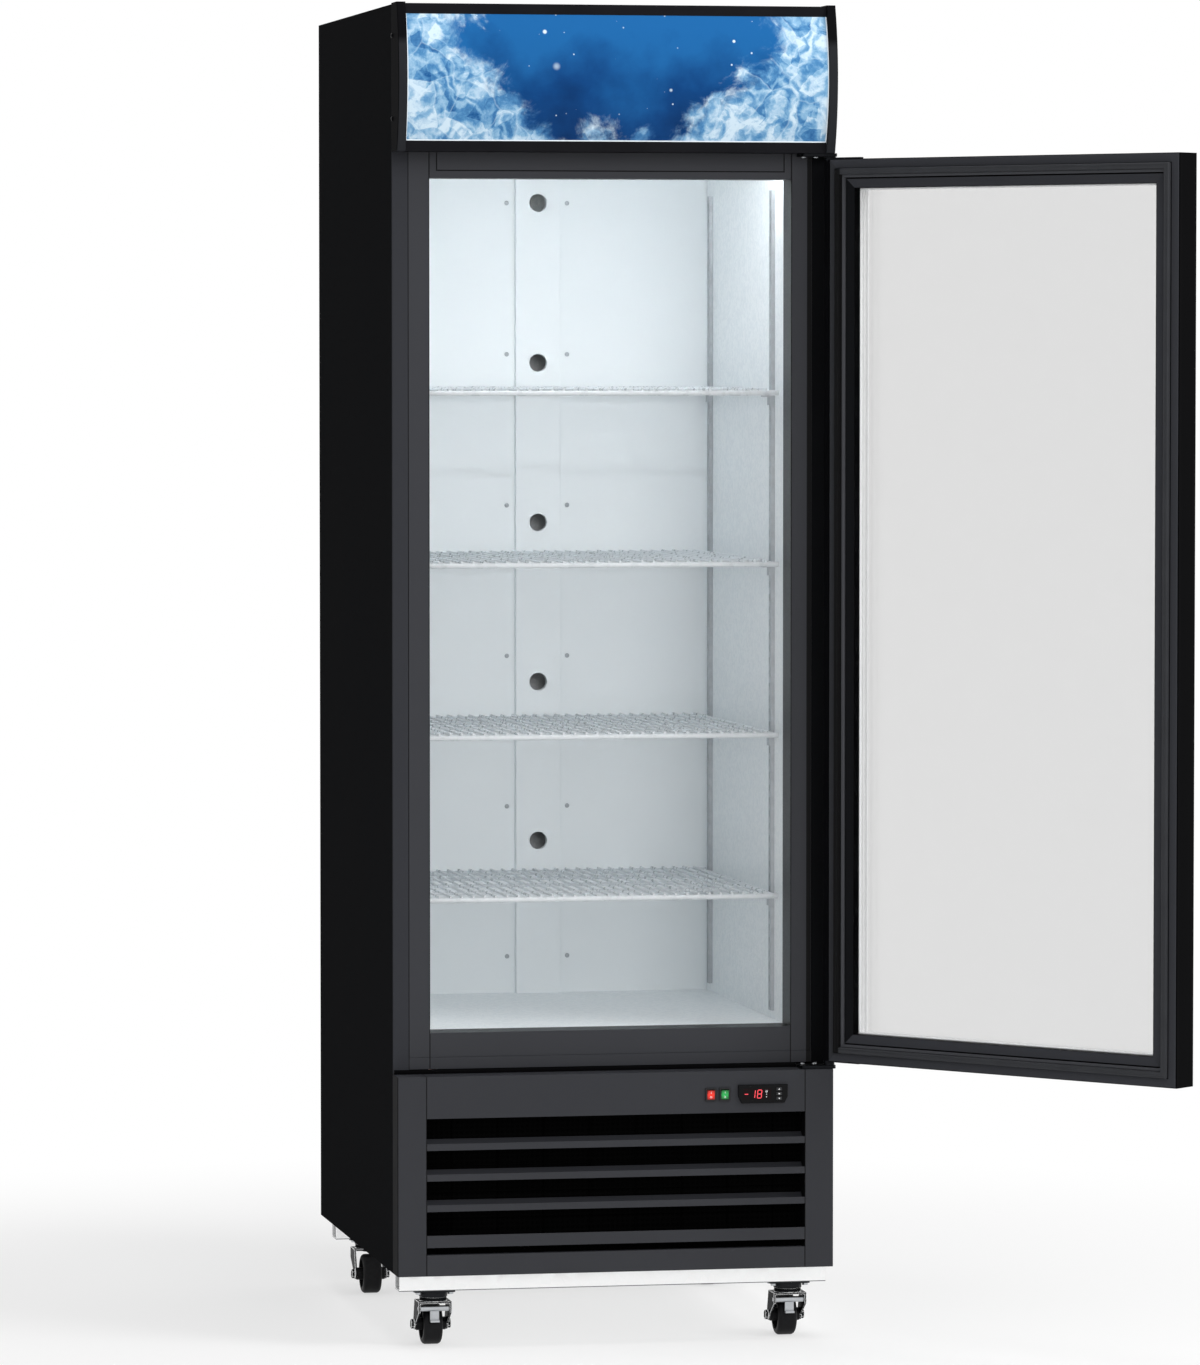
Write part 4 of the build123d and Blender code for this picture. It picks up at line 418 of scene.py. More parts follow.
skin = {"Base Color": picture, "Roughness": 0.28, "Specular IOR Level": 0.04}
skin |= {"Emission Color": picture, "Emission Strength": 0.06}
add(tree, "OutputMaterial", {"Surface": add(tree, "BsdfPrincipled", skin)})
dress(sign, "sign_panel")

# Reflector and lamps
# White sheet behind the sign, two lamp tubes in their holders, and one lamp bar over the door in the cabin.
# The diffusers are opal polycarbonate, lit along their length, brighter over each diode. A wave's bands are
# as wide as the millimetres that its scale is divided by, here 9.55 mm.
dress(powder_coat("white reflector sheet", "EDF0F2", "F5F7F8", 0.5, 0.3), "header_reflector")
opal, tree, place = new_finish("lit opal polycarbonate")
dots = {"Vector": place, "Scale": 1000 / 9.55 / math.tau, "Distortion": 0.4}
dots = add(tree, "TexWave", dots, wave_type="BANDS").outputs["Fac"]
tone = add(tree, "Mix", {0: dots, 6: linear("E9F1F6"), 7: linear("FFFFFF")}, data_type="RGBA")
skin = {"Base Color": linear("F4F7F9"), "Roughness": 0.4, "Emission Color": tone, "Emission Strength": 20.0}
add(tree, "OutputMaterial", {"Surface": add(tree, "BsdfPrincipled", skin)})
dress(opal, "led_lamps")

# Lower front
# Folded corner posts, the control band and the louvre slats, spot-welded into one removable front.
# Steel in the same charcoal powder coat, painted a shade lighter on the slats as a painted highlight where
# the lips catch the light; the posts' faces flush with the cabinet's sides are painted near-black as shade.
POST_SEAMS = (0.2975,)
# Painted shade on the flush side faces; the slats below get a painted highlight.
lower_steel = powder_coat(
    "charcoal powder-coated lower front", "2D2E32", "333438", 0.42, 0.18, sides="131315", seams=POST_SEAMS
)
dress(lower_steel, "corner_posts", "control_band")
slat_steel = powder_coat("charcoal powder-coated slats", "2D2E32", "35363A", 0.42, 0.2, seams=POST_SEAMS)
dress(slat_steel, "lower_grille")

# Rocker switches
# Two lit rockers in black housings pushed through the band from the front: red for power, green for the lamp.
# Translucent coloured polycarbonate over a small lamp, brightest in the middle, with ribs of about 1.9 mm
# behind its face. Each is marked I and O in white.
ROCKER_X = {"rocker_red": 0.148, "rocker_green": 0.170}
CONTROL_Z = 0.386
ROCKER_PIVOT, ROCKER_CORE = -0.422, -0.424
dress(moulded("moulded switch nylon", "08080A", "101012", 0.35, 1.5), "switch_housings")
for node, name, deep, bright in (
    ("rocker_red", "lit red polycarbonate", "8E0F08", "E8301F"),
    ("rocker_green", "lit green polycarbonate", "06551F", "1FA04B"),
):
    lens, tree, place = new_finish(name)
    middle = (ROCKER_X[node], ROCKER_CORE, CONTROL_Z)
    from_core = add(tree, "VectorMath", {0: place, 1: middle}, operation="DISTANCE")
    fade = {"Value": from_core, "From Min": 0.002, "From Max": 0.0085, "To Min": 1.0, "To Max": 0.0}
    core = add(tree, "MapRange", fade, interpolation_type="SMOOTHSTEP")
    tone = add(tree, "Mix", {0: core, 6: linear(deep), 7: linear(bright)}, data_type="RGBA")
    ribs = {"Vector": place, "Scale": 1000 / 1.91 / math.tau}
    ribs = add(tree, "TexWave", ribs, bands_direction="Z").outputs["Fac"]
    bump = add(tree, "Bump", {"Height": ribs, "Strength": 0.2, "Distance": 0.0002})
    skin = {"Base Color": tone, "Roughness": 0.22, "Normal": bump}
    skin |= {"Emission Color": tone, "Emission Strength": 0.22}
    add(tree, "OutputMaterial", {"Surface": add(tree, "BsdfPrincipled", skin)})
    dress(lens, node)

# Pad-printed ink: flat white, slightly uneven where the pad dabbed it.
white_ink, tree, place = new_finish("white pad-printed ink")
dabs = add(tree, "TexNoise", {"Vector": place, "Scale": 1000 / 1.5, "Detail": 2.0})
tone = add(tree, "Mix", {0: dabs, 6: linear("D9DADA"), 7: linear("F5F5F5")}, data_type="RGBA")
skin = {"Base Color": tone, "Roughness": 0.5}
add(tree, "OutputMaterial", {"Surface": add(tree, "BsdfPrincipled", skin)})


def new_piece(name, shape, finish, body):
    """Make a piece from a bmesh that rides on a body."""
    mesh = bpy.data.meshes.new(name)
    bmesh.ops.recalc_face_normals(shape, faces=shape.faces)
    shape.to_mesh(mesh)
    shape.free()
    mesh.materials.append(finish)
    piece = bpy.data.objects.new(name, mesh)
    scene.collection.objects.link(piece)
    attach(piece, body)
    return piece


def prism(shape, first, last):
    """Add a closed solid to a bmesh between two outlines that have as many points."""
    first = [shape.verts.new(point) for point in first]
    last = [shape.verts.new(point) for point in last]
    shape.faces.new(first)
    shape.faces.new(last[::-1])
    for i in range(len(first)):
        j = (i + 1) % len(first)
        shape.faces.new((first[i], first[j], last[j], last[i]))


def plate(shape, outline, thick):
    """Add a flat plate to a bmesh: its outline in X and Z, its thickness towards -Y."""
    prism(shape, [(x, 0, z) for x, z in outline], [(x, -thick, z) for x, z in outline])


INK = 0.00008
MARK_HALF, BAR_HALF, RING_BORE = 0.0015, 0.0004, 0.0010
MARK_OUT, MARK_RISE = 0.00233, 0.0035
FACE_SLOPE, RESTING_TILT = math.radians(10.9), math.radians(8)
bar = [(-BAR_HALF, -MARK_HALF), (BAR_HALF, -MARK_HALF), (BAR_HALF, MARK_HALF), (-BAR_HALF, MARK_HALF)]
turns = [step * math.tau / 20 for step in range(20)]
for body, x in ROCKER_X.items():
    marks = bmesh.new()
    plate(marks, bar, INK)
    for a, b in zip(turns, turns[1:] + turns[:1]):
        corners = ((a, MARK_HALF), (b, MARK_HALF), (b, RING_BORE), (a, RING_BORE))
        plate(marks, [(r * math.cos(t), r * math.sin(t)) for t, r in corners], INK)
    points = list(marks.verts)
    bar_ends = 2 * len(bar)
    for hand, part in ((1, points[:bar_ends]), (-1, points[bar_ends:])):
        lay = Matrix.Rotation(hand * FACE_SLOPE, 4, "X")
        lay = Matrix.Translation((0, -MARK_OUT, hand * MARK_RISE)) @ lay
        bmesh.ops.transform(marks, matrix=lay, verts=part)
    bmesh.ops.remove_doubles(marks, verts=marks.verts, dist=1e-7)
    tilt = Matrix.Translation((x, ROCKER_PIVOT, CONTROL_Z)) @ Matrix.Rotation(RESTING_TILT, 4, "X")
    bmesh.ops.transform(marks, matrix=tilt, verts=marks.verts)
    new_piece(body + "_marks", marks, white_ink, body)

# Controller
# A clip-in digital thermostat: glossy black ABS bezel with drawn-in lower corners, a smoked acrylic window
# with a three-place red display behind it, and three rubber keys with white marks.
dress(moulded("glossy black ABS bezel", "050506", "0A0A0C", 0.18, 4.0, 0.12), "controller_case")
# Smoked acrylic: polished and nearly black, with a faint haze.
smoked, tree, place = new_finish("smoked acrylic")
haze = add(tree, "TexNoise", {"Vector": place, "Scale": 1000 / 20, "Detail": 3.0})
tone = add(tree, "Mix", {0: haze, 6: linear("0A0304"), 7: linear("140507")}, data_type="RGBA")
rough = add(tree, "MapRange", {"Value": haze, "To Min": 0.05, "To Max": 0.12})
skin = {"Base Color": tone, "Roughness": rough, "Specular IOR Level": 0.12}
add(tree, "OutputMaterial", {"Surface": add(tree, "BsdfPrincipled", skin)})
dress(smoked, "controller_window")
# Silicone keys: matt dark grey, a shade lighter than the bezel.
silicone = moulded("moulded silicone keys", "1B1C1E", "242528", 0.5, 1.5)

# Diode segments: bars of red light, a little paler in places.
red_diode, tree, place = new_finish("lit red diode segments")
grains = add(tree, "TexNoise", {"Vector": place, "Scale": 1000 / 2, "Detail": 1.0})
tone = add(tree, "Mix", {0: grains, 6: linear("FF2B3C"), 7: linear("FF6E78")}, data_type="RGBA")
skin = {"Base Color": linear("A01018"), "Roughness": 0.3, "Emission Color": tone, "Emission Strength": 1.1}
add(tree, "OutputMaterial", {"Surface": add(tree, "BsdfPrincipled", skin)})

WINDOW_FACE = -0.427
LIT = 0.00012
DIGIT_W, DIGIT_H, STROKE, SLANT = 0.0064, 0.0124, 0.0011, 0.10
FIRST_DIGIT, DIGIT_PITCH = 0.2032, 0.0104
SEGMENTS = {"-": "g", "1": "bc", "8": "abcdefg"}
w, h = DIGIT_W / 2, DIGIT_H / 2
ENDS = {
    "a": ((-w, h), (w, h)),
    "b": ((w, h), (w, 0)),
    "c": ((w, 0), (w, -h)),
    "d": ((-w, -h), (w, -h)),
    "e": ((-w, 0), (-w, -h)),
    "f": ((-w, h), (-w, 0)),
    "g": ((-w, 0), (w, 0)),
}
digits = bmesh.new()
for number, mark in enumerate("-18"):
    centre = FIRST_DIGIT + number * DIGIT_PITCH
    for letter in SEGMENTS[mark]:
        a, b = (Vector(end) for end in ENDS[letter])
        run = (b - a).normalized() * STROKE
        cross = Vector((-run.y, run.x)) / 2
        a += run * 0.12
        b -= run * 0.12
        inner_a, inner_b = a + run / 2, b - run / 2
        outline = [a, inner_a + cross, inner_b + cross, b, inner_b - cross, inner_a - cross]
        plate(digits, [(centre + p.x + p.y * SLANT, p.y) for p in outline], LIT)
bmesh.ops.translate(digits, vec=(0, WINDOW_FACE, CONTROL_Z), verts=digits.verts)
new_piece("display_digits", digits, red_diode, "cabinet")

ICON_X, SNOW_RISE = 0.2350, 0.0040
ARM_FROM, ARM_TO, ARM_HALF = 0.0003, 0.0021, 0.00018
SPUR_ROOT, SPUR_FROM, SPUR_TO, SPUR_HALF, SPUR_TURN = 0.0012, 0.0002, 0.0009, 0.00014, 0.9
DOT_RADIUS = 0.0007
icons = bmesh.new()
for turn in range(6):
    angle = turn * math.pi / 3
    along = Vector((math.cos(angle), math.sin(angle)))
    strokes = [(along * ARM_FROM, along * ARM_TO, ARM_HALF)]
    for bend in (angle - SPUR_TURN, angle + SPUR_TURN):
        root = along * SPUR_ROOT
        spur = Vector((math.cos(bend), math.sin(bend)))
        strokes.append((root + spur * SPUR_FROM, root + spur * SPUR_TO, SPUR_HALF))
    for root, tip, half in strokes:
        cross = Vector((root.y - tip.y, tip.x - root.x)).normalized() * half
        plate(icons, [root - cross, tip - cross, tip + cross, root + cross], LIT)
bmesh.ops.translate(icons, vec=(0, 0, SNOW_RISE), verts=icons.verts)
for z in (-0.0005, -0.0045):
    plate(icons, [(DOT_RADIUS * math.cos(t), z + DOT_RADIUS * math.sin(t)) for t in turns], LIT)
bmesh.ops.translate(icons, vec=(ICON_X, WINDOW_FACE, CONTROL_Z), verts=icons.verts)
new_piece("display_icons", icons, white_ink, "cabinet")

KEY_X, KEY_FACE, KEY_PITCH = 0.255, -0.4279, 0.0072
key_marks = (
    [(-0.0016, 0.0008), (0.0016, 0.0008), (0, -0.0012)],
    [(-0.0012, -0.0009), (0.0012, -0.0009), (0.0012, 0.0009), (-0.0012, 0.0009)],
    [(-0.0016, -0.0008), (0.0016, -0.0008), (0, 0.0012)],
)
for number, outline in enumerate(key_marks):
    body = f"button_{number + 1}"
    dress(silicone, "controller_" + body)
    key = bmesh.new()
    plate(key, outline, INK)
    spot = (KEY_X, KEY_FACE, CONTROL_Z + (number - 1) * KEY_PITCH)
    bmesh.ops.translate(key, vec=spot, verts=key.verts)
    new_piece(body + "_mark", key, white_ink, body)

# Dust screen and seal strip
# A black screen held between the corner posts behind the slats, fine woven wire in a pressed rim with
# stiffening ribs, which keeps lint off the condenser; and a rubber strip that closes the slit under the face
# frame. Both are near-black as painted shade, so the louvre gaps and the slit stay dark. The wire is about
# 0.5 mm and drawn at 4 mm so that it shows.
woven, tree, place = new_finish("black woven wire")
threads = {"Vector": place, "Scale": 1000 / 4 / math.tau}
warp = add(tree, "TexWave", threads, bands_direction="X").outputs["Fac"]
weft = add(tree, "TexWave", threads, bands_direction="Z").outputs["Fac"]
weave = add(tree, "Math", {0: warp, 1: weft}, operation="MAXIMUM")
tone = add(tree, "Mix", {0: weave, 6: linear("010101"), 7: linear("050505")}, data_type="RGBA")
bump = add(tree, "Bump", {"Height": weave, "Strength": 0.5, "Distance": 0.0005})
skin = {"Base Color": tone, "Roughness": 0.8, "Specular IOR Level": 0.02, "Normal": bump}
add(tree, "OutputMaterial", {"Surface": add(tree, "BsdfPrincipled", skin)})
SCREEN_HALF, SCREEN_LOW, SCREEN_HIGH, SCREEN_Y = 0.2974, 0.1180, 0.3620, -0.3905
RIM, RIB_HALF, PRESSED, SCREEN_SHEET = 0.008, 0.003, 0.003, 0.0008
FIRST_RIB, RIB_PITCH = -0.2530, 0.0723
columns = [FIRST_RIB + step * RIB_PITCH for step in range(8)]
columns = [-SCREEN_HALF, RIM - SCREEN_HALF] + columns + [SCREEN_HALF - RIM, SCREEN_HALF]
rows = [SCREEN_LOW, SCREEN_LOW + RIM, 0.1985, 0.2390, 0.2800, SCREEN_HIGH - RIM, SCREEN_HIGH]
screen = bmesh.new()
grid = [[screen.verts.new((x, SCREEN_Y, z)) for x in columns] for z in rows]
cells = []
for i in range(len(rows) - 1):
    for j in range(len(columns) - 1):
        face = screen.faces.new((grid[i][j], grid[i][j + 1], grid[i + 1][j + 1], grid[i + 1][j]))
        if 0 < i < len(rows) - 2 and 0 < j < len(columns) - 2:
            cells.append(face)
bmesh.ops.inset_individual(screen, faces=cells, thickness=RIB_HALF, depth=0.0)
for face in cells:
    bmesh.ops.translate(screen, vec=(0, PRESSED, 0), verts=face.verts)
dust_screen = new_piece("dust_screen", screen, woven, "cabinet")
thicken = dust_screen.modifiers.new("sheet", "SOLIDIFY")
thicken.thickness = SCREEN_SHEET
thicken.offset = 0.0

STRIP_LEFT, STRIP_RIGHT = -0.3412, 0.2918
strip_section = [
    (-0.3796, 0.4220),
    (-0.3744, 0.4220),
    (-0.3744, 0.4262),
    (-0.3750, 0.4280),
    (-0.3770, 0.4287),
    (-0.3790, 0.4280),
    (-0.3796, 0.4262),
]
strip = bmesh.new()
prism(strip, *[[(x, y, z) for y, z in strip_section] for x in (STRIP_LEFT, STRIP_RIGHT)])
seal_rubber = moulded("extruded black sealing rubber", "030304", "070708", 0.7, 2.0, 0.05)
new_piece("sealing_strip", strip, seal_rubber, "cabinet")

# Base pan and beams
# The pressed base of the machine bay, and two channels under it that carry the casters.
# Hot-dip galvanised steel: bright, with a spangle of crystals about 12 mm across, and a grey line painted
# along the beams' lower edge as shade under the fold.
BEAM_EDGE, EDGE_HALF = 0.0882, 0.001
galvanised, tree, place = new_finish("hot-dip galvanised steel")
spangle = add(tree, "TexVoronoi", {"Vector": place, "Scale": 1000 / 12})
crystal = add(tree, "SeparateXYZ", {0: spangle.outputs["Color"]}).outputs["X"]
tone = add(tree, "Mix", {0: crystal, 6: linear("F6F7F7"), 7: linear("FDFDFD")}, data_type="RGBA")
height = add(tree, "SeparateXYZ", {0: place}).outputs["Z"]
painted_edge_shade = add(tree, "Math", {0: height, 1: BEAM_EDGE, 2: EDGE_HALF}, operation="COMPARE")
tone = add(tree, "Mix", {0: painted_edge_shade, 6: tone, 7: linear("66686A")}, data_type="RGBA")
rough = add(tree, "MapRange", {"Value": crystal, "To Min": 0.30, "To Max": 0.50})
edge = add(tree, "Bevel", {"Radius": 0.0008}, samples=4)
skin = {"Base Color": tone, "Metallic": 1.0, "Roughness": rough, "Normal": edge}
add(tree, "OutputMaterial", {"Surface": add(tree, "BsdfPrincipled", skin)})
dress(galvanised, "base_pan", "caster_beams")

# Casters
# Four swivel casters bolted under the beams; the front pair have a brake tongue.
# Pressed steel, black-passivated at the plates. The forks are chromed steel painted near-black on their faces
# as a painted reflection of the dark underside, with a painted highlight along the edges. Hard rubber wheels.
dress(plated("black-passivated zinc", "1A1B1D", "2C2D30", 0.34, 0.5, 9), "caster_plates")
chrome_fork, tree, place = new_finish("chromed steel with painted reflections")
# Painted reflection and highlight: dark faces, bright metallic edges found from the bevel.
rounded = add(tree, "Bevel", {"Radius": 0.0018}, samples=6)
flat_side = add(tree, "NewGeometry").outputs["True Normal"]
turn = add(tree, "VectorMath", {0: rounded, 1: flat_side}, operation="DOT_PRODUCT")
edge_glint = add(tree, "MapRange", {"Value": turn, "From Min": 0.995, "From Max": 0.93})
tone = add(tree, "Mix", {0: edge_glint, 6: linear("141517"), 7: linear("F4F5F6")}, data_type="RGBA")
skin = {"Base Color": tone, "Metallic": edge_glint, "Roughness": 0.16, "Normal": rounded}
skin["Specular IOR Level"] = 0.004
add(tree, "OutputMaterial", {"Surface": add(tree, "BsdfPrincipled", skin)})
hard_rubber, tree, place = new_finish("moulded hard rubber")
scuff = add(tree, "TexNoise", {"Vector": place, "Scale": 1000 / 7, "Detail": 5.0, "Roughness": 0.65})
tone = add(tree, "Mix", {0: scuff, 6: linear("0B0B0C"), 7: linear("1E1E20")}, data_type="RGBA")
rough = add(tree, "MapRange", {"Value": scuff, "To Min": 0.40, "To Max": 0.62})
bump = add(tree, "Bump", {"Height": scuff, "Strength": 0.15, "Distance": 0.0004})
skin = {"Base Color": tone, "Roughness": rough, "Specular IOR Level": 0.12, "Normal": bump}
add(tree, "OutputMaterial", {"Surface": add(tree, "BsdfPrincipled", skin)})
for corner in ("front_left", "front_right", "rear_left", "rear_right"):
    dress(chrome_fork, "caster_fork_" + corner)
    dress(hard_rubber, "caster_wheel_" + corner)
dress(bright_zinc, "brake_pedal_front_left", "brake_pedal_front_right", "caster_bolts")

# Door frame
# Four extruded profiles mitred and welded at the corners, with a grooved inner side.
# Dark PVC, charcoal on the inner bands; the rib beside the seal is paler as a painted highlight, and the
# edge, the grooves and the reveal are black as painted shade, the hinge stile darker still as painted shade.
# Its grain is about 0.3 mm and drawn at 3 mm so that it shows. The outer lip's bed under the glass is white
# sealing tape with a painted glow for light caught between the panes.
HINGE = (0.3385, -0.407, 0.0)
OPEN = math.radians(131)
DOOR_HALF, DOOR_LOW, DOOR_HIGH = 0.3225, 0.435, 1.8305
DOOR_INNER = -0.382
INNER_FROM, INNER_TO = -0.3898, -0.3888
BED_Y, BED_HALF, BED_IN = -0.427, 0.0007, 0.034
RIM_Y, RIM_IN = -0.4262, 0.0446
BAND_REACH, LAST_BAND = 50, 44.3
BAND_STARTS = (1.2, 13.8, 24.6, 28.4, 30.7)
EDGE_BLACK = "050506"
pvc, tree, place = new_finish("charcoal PVC with painted shade")
shut = add(tree, "VectorRotate", {"Vector": place, "Center": HINGE, "Angle": -OPEN}, rotation_type="Z_AXIS")
door = add(tree, "SeparateXYZ", {0: shut}).outputs
off_middle = add(tree, "Math", {0: door["X"]}, operation="ABSOLUTE")
off_height = add(tree, "Math", {0: door["Z"], 1: (DOOR_LOW + DOOR_HIGH) / 2}, operation="SUBTRACT")
off_height = add(tree, "Math", {0: off_height}, operation="ABSOLUTE")
from_stile = add(tree, "Math", {0: DOOR_HALF, 1: off_middle}, operation="SUBTRACT")
from_rail = add(tree, "Math", {0: (DOOR_HIGH - DOOR_LOW) / 2, 1: off_height}, operation="SUBTRACT")
inward = add(tree, "Math", {0: from_stile, 1: from_rail}, operation="MINIMUM")
across = add(tree, "MapRange", {"Value": inward, "From Max": BAND_REACH / 1000})
bands = []
# Blacks are painted shade, the pale rib a painted highlight; the second row darkens the hinge stile as shade.
for codes in (
    ("393A3E", "08080A", "4E4F53", "030304", "37383C"),
    ("333437", "050506", "4E4F53", "020203", "141517"),
):
    ramp = add(tree, "ValToRGB", {0: across})
    ramp.color_ramp.interpolation = "CONSTANT"
    stops = ramp.color_ramp.elements
    stops[0].color = linear(EDGE_BLACK)
    stops[1].position = LAST_BAND / BAND_REACH
    stops[1].color = linear(EDGE_BLACK)
    for start, code in zip(BAND_STARTS, codes):
        stops.new(start / BAND_REACH).color = linear(code)
    bands.append(ramp)
hinge_stile_shade = add(tree, "Math", {0: from_rail, 1: from_stile}, operation="GREATER_THAN")
hinge_stile_shade = add(tree, "Math", {0: hinge_stile_shade, 1: door["X"]}, operation="MULTIPLY")
hinge_stile_shade = add(tree, "Math", {0: hinge_stile_shade, 1: 0.0}, operation="GREATER_THAN")
band = add(tree, "Mix", {0: hinge_stile_shade, 6: bands[0], 7: bands[1]}, data_type="RGBA")
inner = add(tree, "MapRange", {"Value": door["Y"], "From Min": INNER_FROM, "From Max": INNER_TO})
tone = add(tree, "Mix", {0: inner, 6: linear("030304"), 7: band}, data_type="RGBA")
under_glass = add(tree, "Math", {0: inward, 1: BED_IN}, operation="GREATER_THAN")
bed = add(tree, "Math", {0: door["Y"], 1: BED_Y, 2: BED_HALF}, operation="COMPARE")
bed = add(tree, "Math", {0: bed, 1: under_glass}, operation="MULTIPLY")
at_rim = add(tree, "Math", {0: inward, 1: RIM_IN}, operation="GREATER_THAN")
rim = add(tree, "Math", {0: door["Y"], 1: RIM_Y}, operation="LESS_THAN")
rim = add(tree, "Math", {0: rim, 1: at_rim}, operation="MULTIPLY")
bed = add(tree, "Math", {0: bed, 1: rim}, operation="MAXIMUM")
tone = add(tree, "Mix", {0: bed, 6: tone, 7: linear("DDDEDF")}, data_type="RGBA")
# Painted glow on the bed, standing in for light caught between the panes.
bed_painted_glow = add(tree, "MapRange", {"Value": bed, "To Max": 0.42})
cloud = add(tree, "TexNoise", {"Vector": place, "Scale": 1000 / 140, "Detail": 4.0})
rough = add(tree, "MapRange", {"Value": cloud, "To Min": 0.30, "To Max": 0.44})
grain = add(tree, "TexNoise", {"Vector": place, "Scale": 1000 / 3, "Detail": 2.0})
edge = add(tree, "Bevel", {"Radius": 0.0006}, samples=4)
bump = add(tree, "Bump", {"Height": grain, "Strength": 0.06, "Distance": 0.0003, "Normal": edge})
skin = {"Base Color": tone, "Roughness": rough, "Specular IOR Level": 0.015, "Normal": bump}
skin |= {"Emission Color": linear("FFFFFF"), "Emission Strength": bed_painted_glow}
add(tree, "OutputMaterial", {"Surface": add(tree, "BsdfPrincipled", skin)})
dress(pvc, "door_frame")


# Door gasket
# A magnetic bellows seal pressed into the door's inner side, welded at its four mitred corners.
# Soft dark PVC with a dull bloom: a flat crown over the magnet strip, with a fold on each side that lets it
# give; along the hinge side it is painted near-black as shade. Its dimples are finer than 1 mm and drawn at
# 2.5 mm so that they show.
def mitred_ring(shape, profile):
    """Sweep a closed profile round the door, mitred at the corners.
    The profile is given in mm as distance in from the door's edge and height over its inner face."""
    rings = []
    for inward, rise in profile:
        x, y = DOOR_HALF - inward / 1000, DOOR_INNER + rise / 1000
        low, high = DOOR_LOW + inward / 1000, DOOR_HIGH - inward / 1000
        corners = ((-x, y, low), (x, y, low), (x, y, high), (-x, y, high))
        rings.append([shape.verts.new(corner) for corner in corners])
    for a, b in zip(rings, rings[1:] + rings[:1]):
        for i in range(4):
            j = (i + 1) % 4
            shape.faces.new((a[i], a[j], b[j], b[i]))


SWING = Matrix.Translation(HINGE) @ Matrix.Rotation(OPEN, 4, "Z") @ Matrix.Translation(-Vector(HINGE))
SEAL_MIDDLE, HINGE_SHADE_REACH = 19.5, 0.0255
outer_folds = [
    (15.4, 0.0), (16.1, 0.9), (15.2, 2.0), (14.6, 3.1), (14.9, 4.0), (15.8, 4.7),
    (15.1, 5.5), (14.9, 6.3), (15.2, 7.0), (15.9, 7.5), (17.4, 7.6), (17.7, 7.35),
]
inner_folds = [(2 * SEAL_MIDDLE - inward, rise) for inward, rise in reversed(outer_folds)]
soft_pvc, tree, place = new_finish("soft dark PVC")
bloom = add(tree, "TexNoise", {"Vector": place, "Scale": 1000 / 35, "Detail": 4.0})
tone = add(tree, "Mix", {0: bloom, 6: linear("303134"), 7: linear("393A3D")}, data_type="RGBA")
across = add(tree, "SeparateXYZ", {0: place}).outputs["X"]
hinge_side_shade = add(tree, "Math", {0: across, 1: DOOR_HALF - HINGE_SHADE_REACH}, operation="GREATER_THAN")
tone = add(tree, "Mix", {0: hinge_side_shade, 6: tone, 7: linear("0C0C0D")}, data_type="RGBA")
rough = add(tree, "MapRange", {"Value": bloom, "To Min": 0.42, "To Max": 0.60})
dimple = add(tree, "TexNoise", {"Vector": place, "Scale": 1000 / 2.5, "Detail": 2.0})
bump = add(tree, "Bump", {"Height": dimple, "Strength": 0.10, "Distance": 0.0003})
skin = {"Base Color": tone, "Roughness": rough, "Specular IOR Level": 0.08, "Normal": bump}
add(tree, "OutputMaterial", {"Surface": add(tree, "BsdfPrincipled", skin)})
seal = bmesh.new()
mitred_ring(seal, outer_folds + inner_folds)
gasket = new_piece("bellows_gasket", seal, soft_pvc, "door")
gasket.matrix_world = SWING
for face in gasket.data.polygons:
    face.use_smooth = True
gasket.data.set_sharp_from_angle(angle=math.radians(50))
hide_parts("door_gasket")

# Hinge-side fin
# A soft lip pressed into the door's hinge-side edge over its whole height, closing the gap to the cabinet.
# Extruded black rubber, matt: a dark piece set where the open door leaves only shade, so the gap stays dark.
FIN_INSET = 0.001
fin_section = [(-0.5, -2.2), (9.6, -1.6), (10.4, -1.1), (9.6, -0.6), (2.0, -0.4), (-0.5, -1.0)]
fin_section = [(DOOR_HALF + x / 1000, DOOR_INNER + y / 1000) for x, y in fin_section]
fin = bmesh.new()
prism(fin, *[[(x, y, z) for x, y in fin_section] for z in (DOOR_LOW + FIN_INSET, DOOR_HIGH - FIN_INSET)])
fin_rubber = moulded("extruded black rubber", "030304", "08080A", 0.7, 2.0, 0.02)
hinge_fin = new_piece("hinge_fin", fin, fin_rubber, "door")
hinge_fin.matrix_world = SWING

# Door glass
# Three panes of 4 mm float glass with two gas-filled spaces between, held apart by aluminium spacer bars.
# Clear and faintly grey; a pale glazing bead covers the joint on the inner side. The bars are white, with a
# painted glow that stands in for light caught between the panes.
glass, tree, place = new_finish("clear float glass")
ripple = add(tree, "TexNoise", {"Vector": place, "Scale": 1000 / 300, "Detail": 1.0})
bump = add(tree, "Bump", {"Height": ripple, "Strength": 0.006, "Distance": 0.001})
skin = {"Base Color": linear("F3F3F3"), "Roughness": 0.0, "IOR": 1.5, "Normal": bump}
skin["Transmission Weight"] = 1.0
add(tree, "OutputMaterial", {"Surface": add(tree, "BsdfPrincipled", skin)})
dress(glass, "glass_panes")
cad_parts["glass_panes"].visible_shadow = False
# The bars' glow is painted light.
spacer_coat = powder_coat("white-coated aluminium spacer bar", "E3E4E5", "EEEFEF", 0.5, 0.05, lit=0.28)
dress(spacer_coat, "glass_spacers")

bead_finish = moulded("white glazing bead", "E4E6E7", "F2F3F4", 0.4, 1.5)
bead = bmesh.new()
mitred_ring(bead, [(43.5, -21.0), (45.2, -18.9), (46.3, -18.9), (47.2, -19.6), (47.5, -21.0)])
glazing_bead = new_piece("glazing_bead", bead, bead_finish, "door")
glazing_bead.matrix_world = SWING

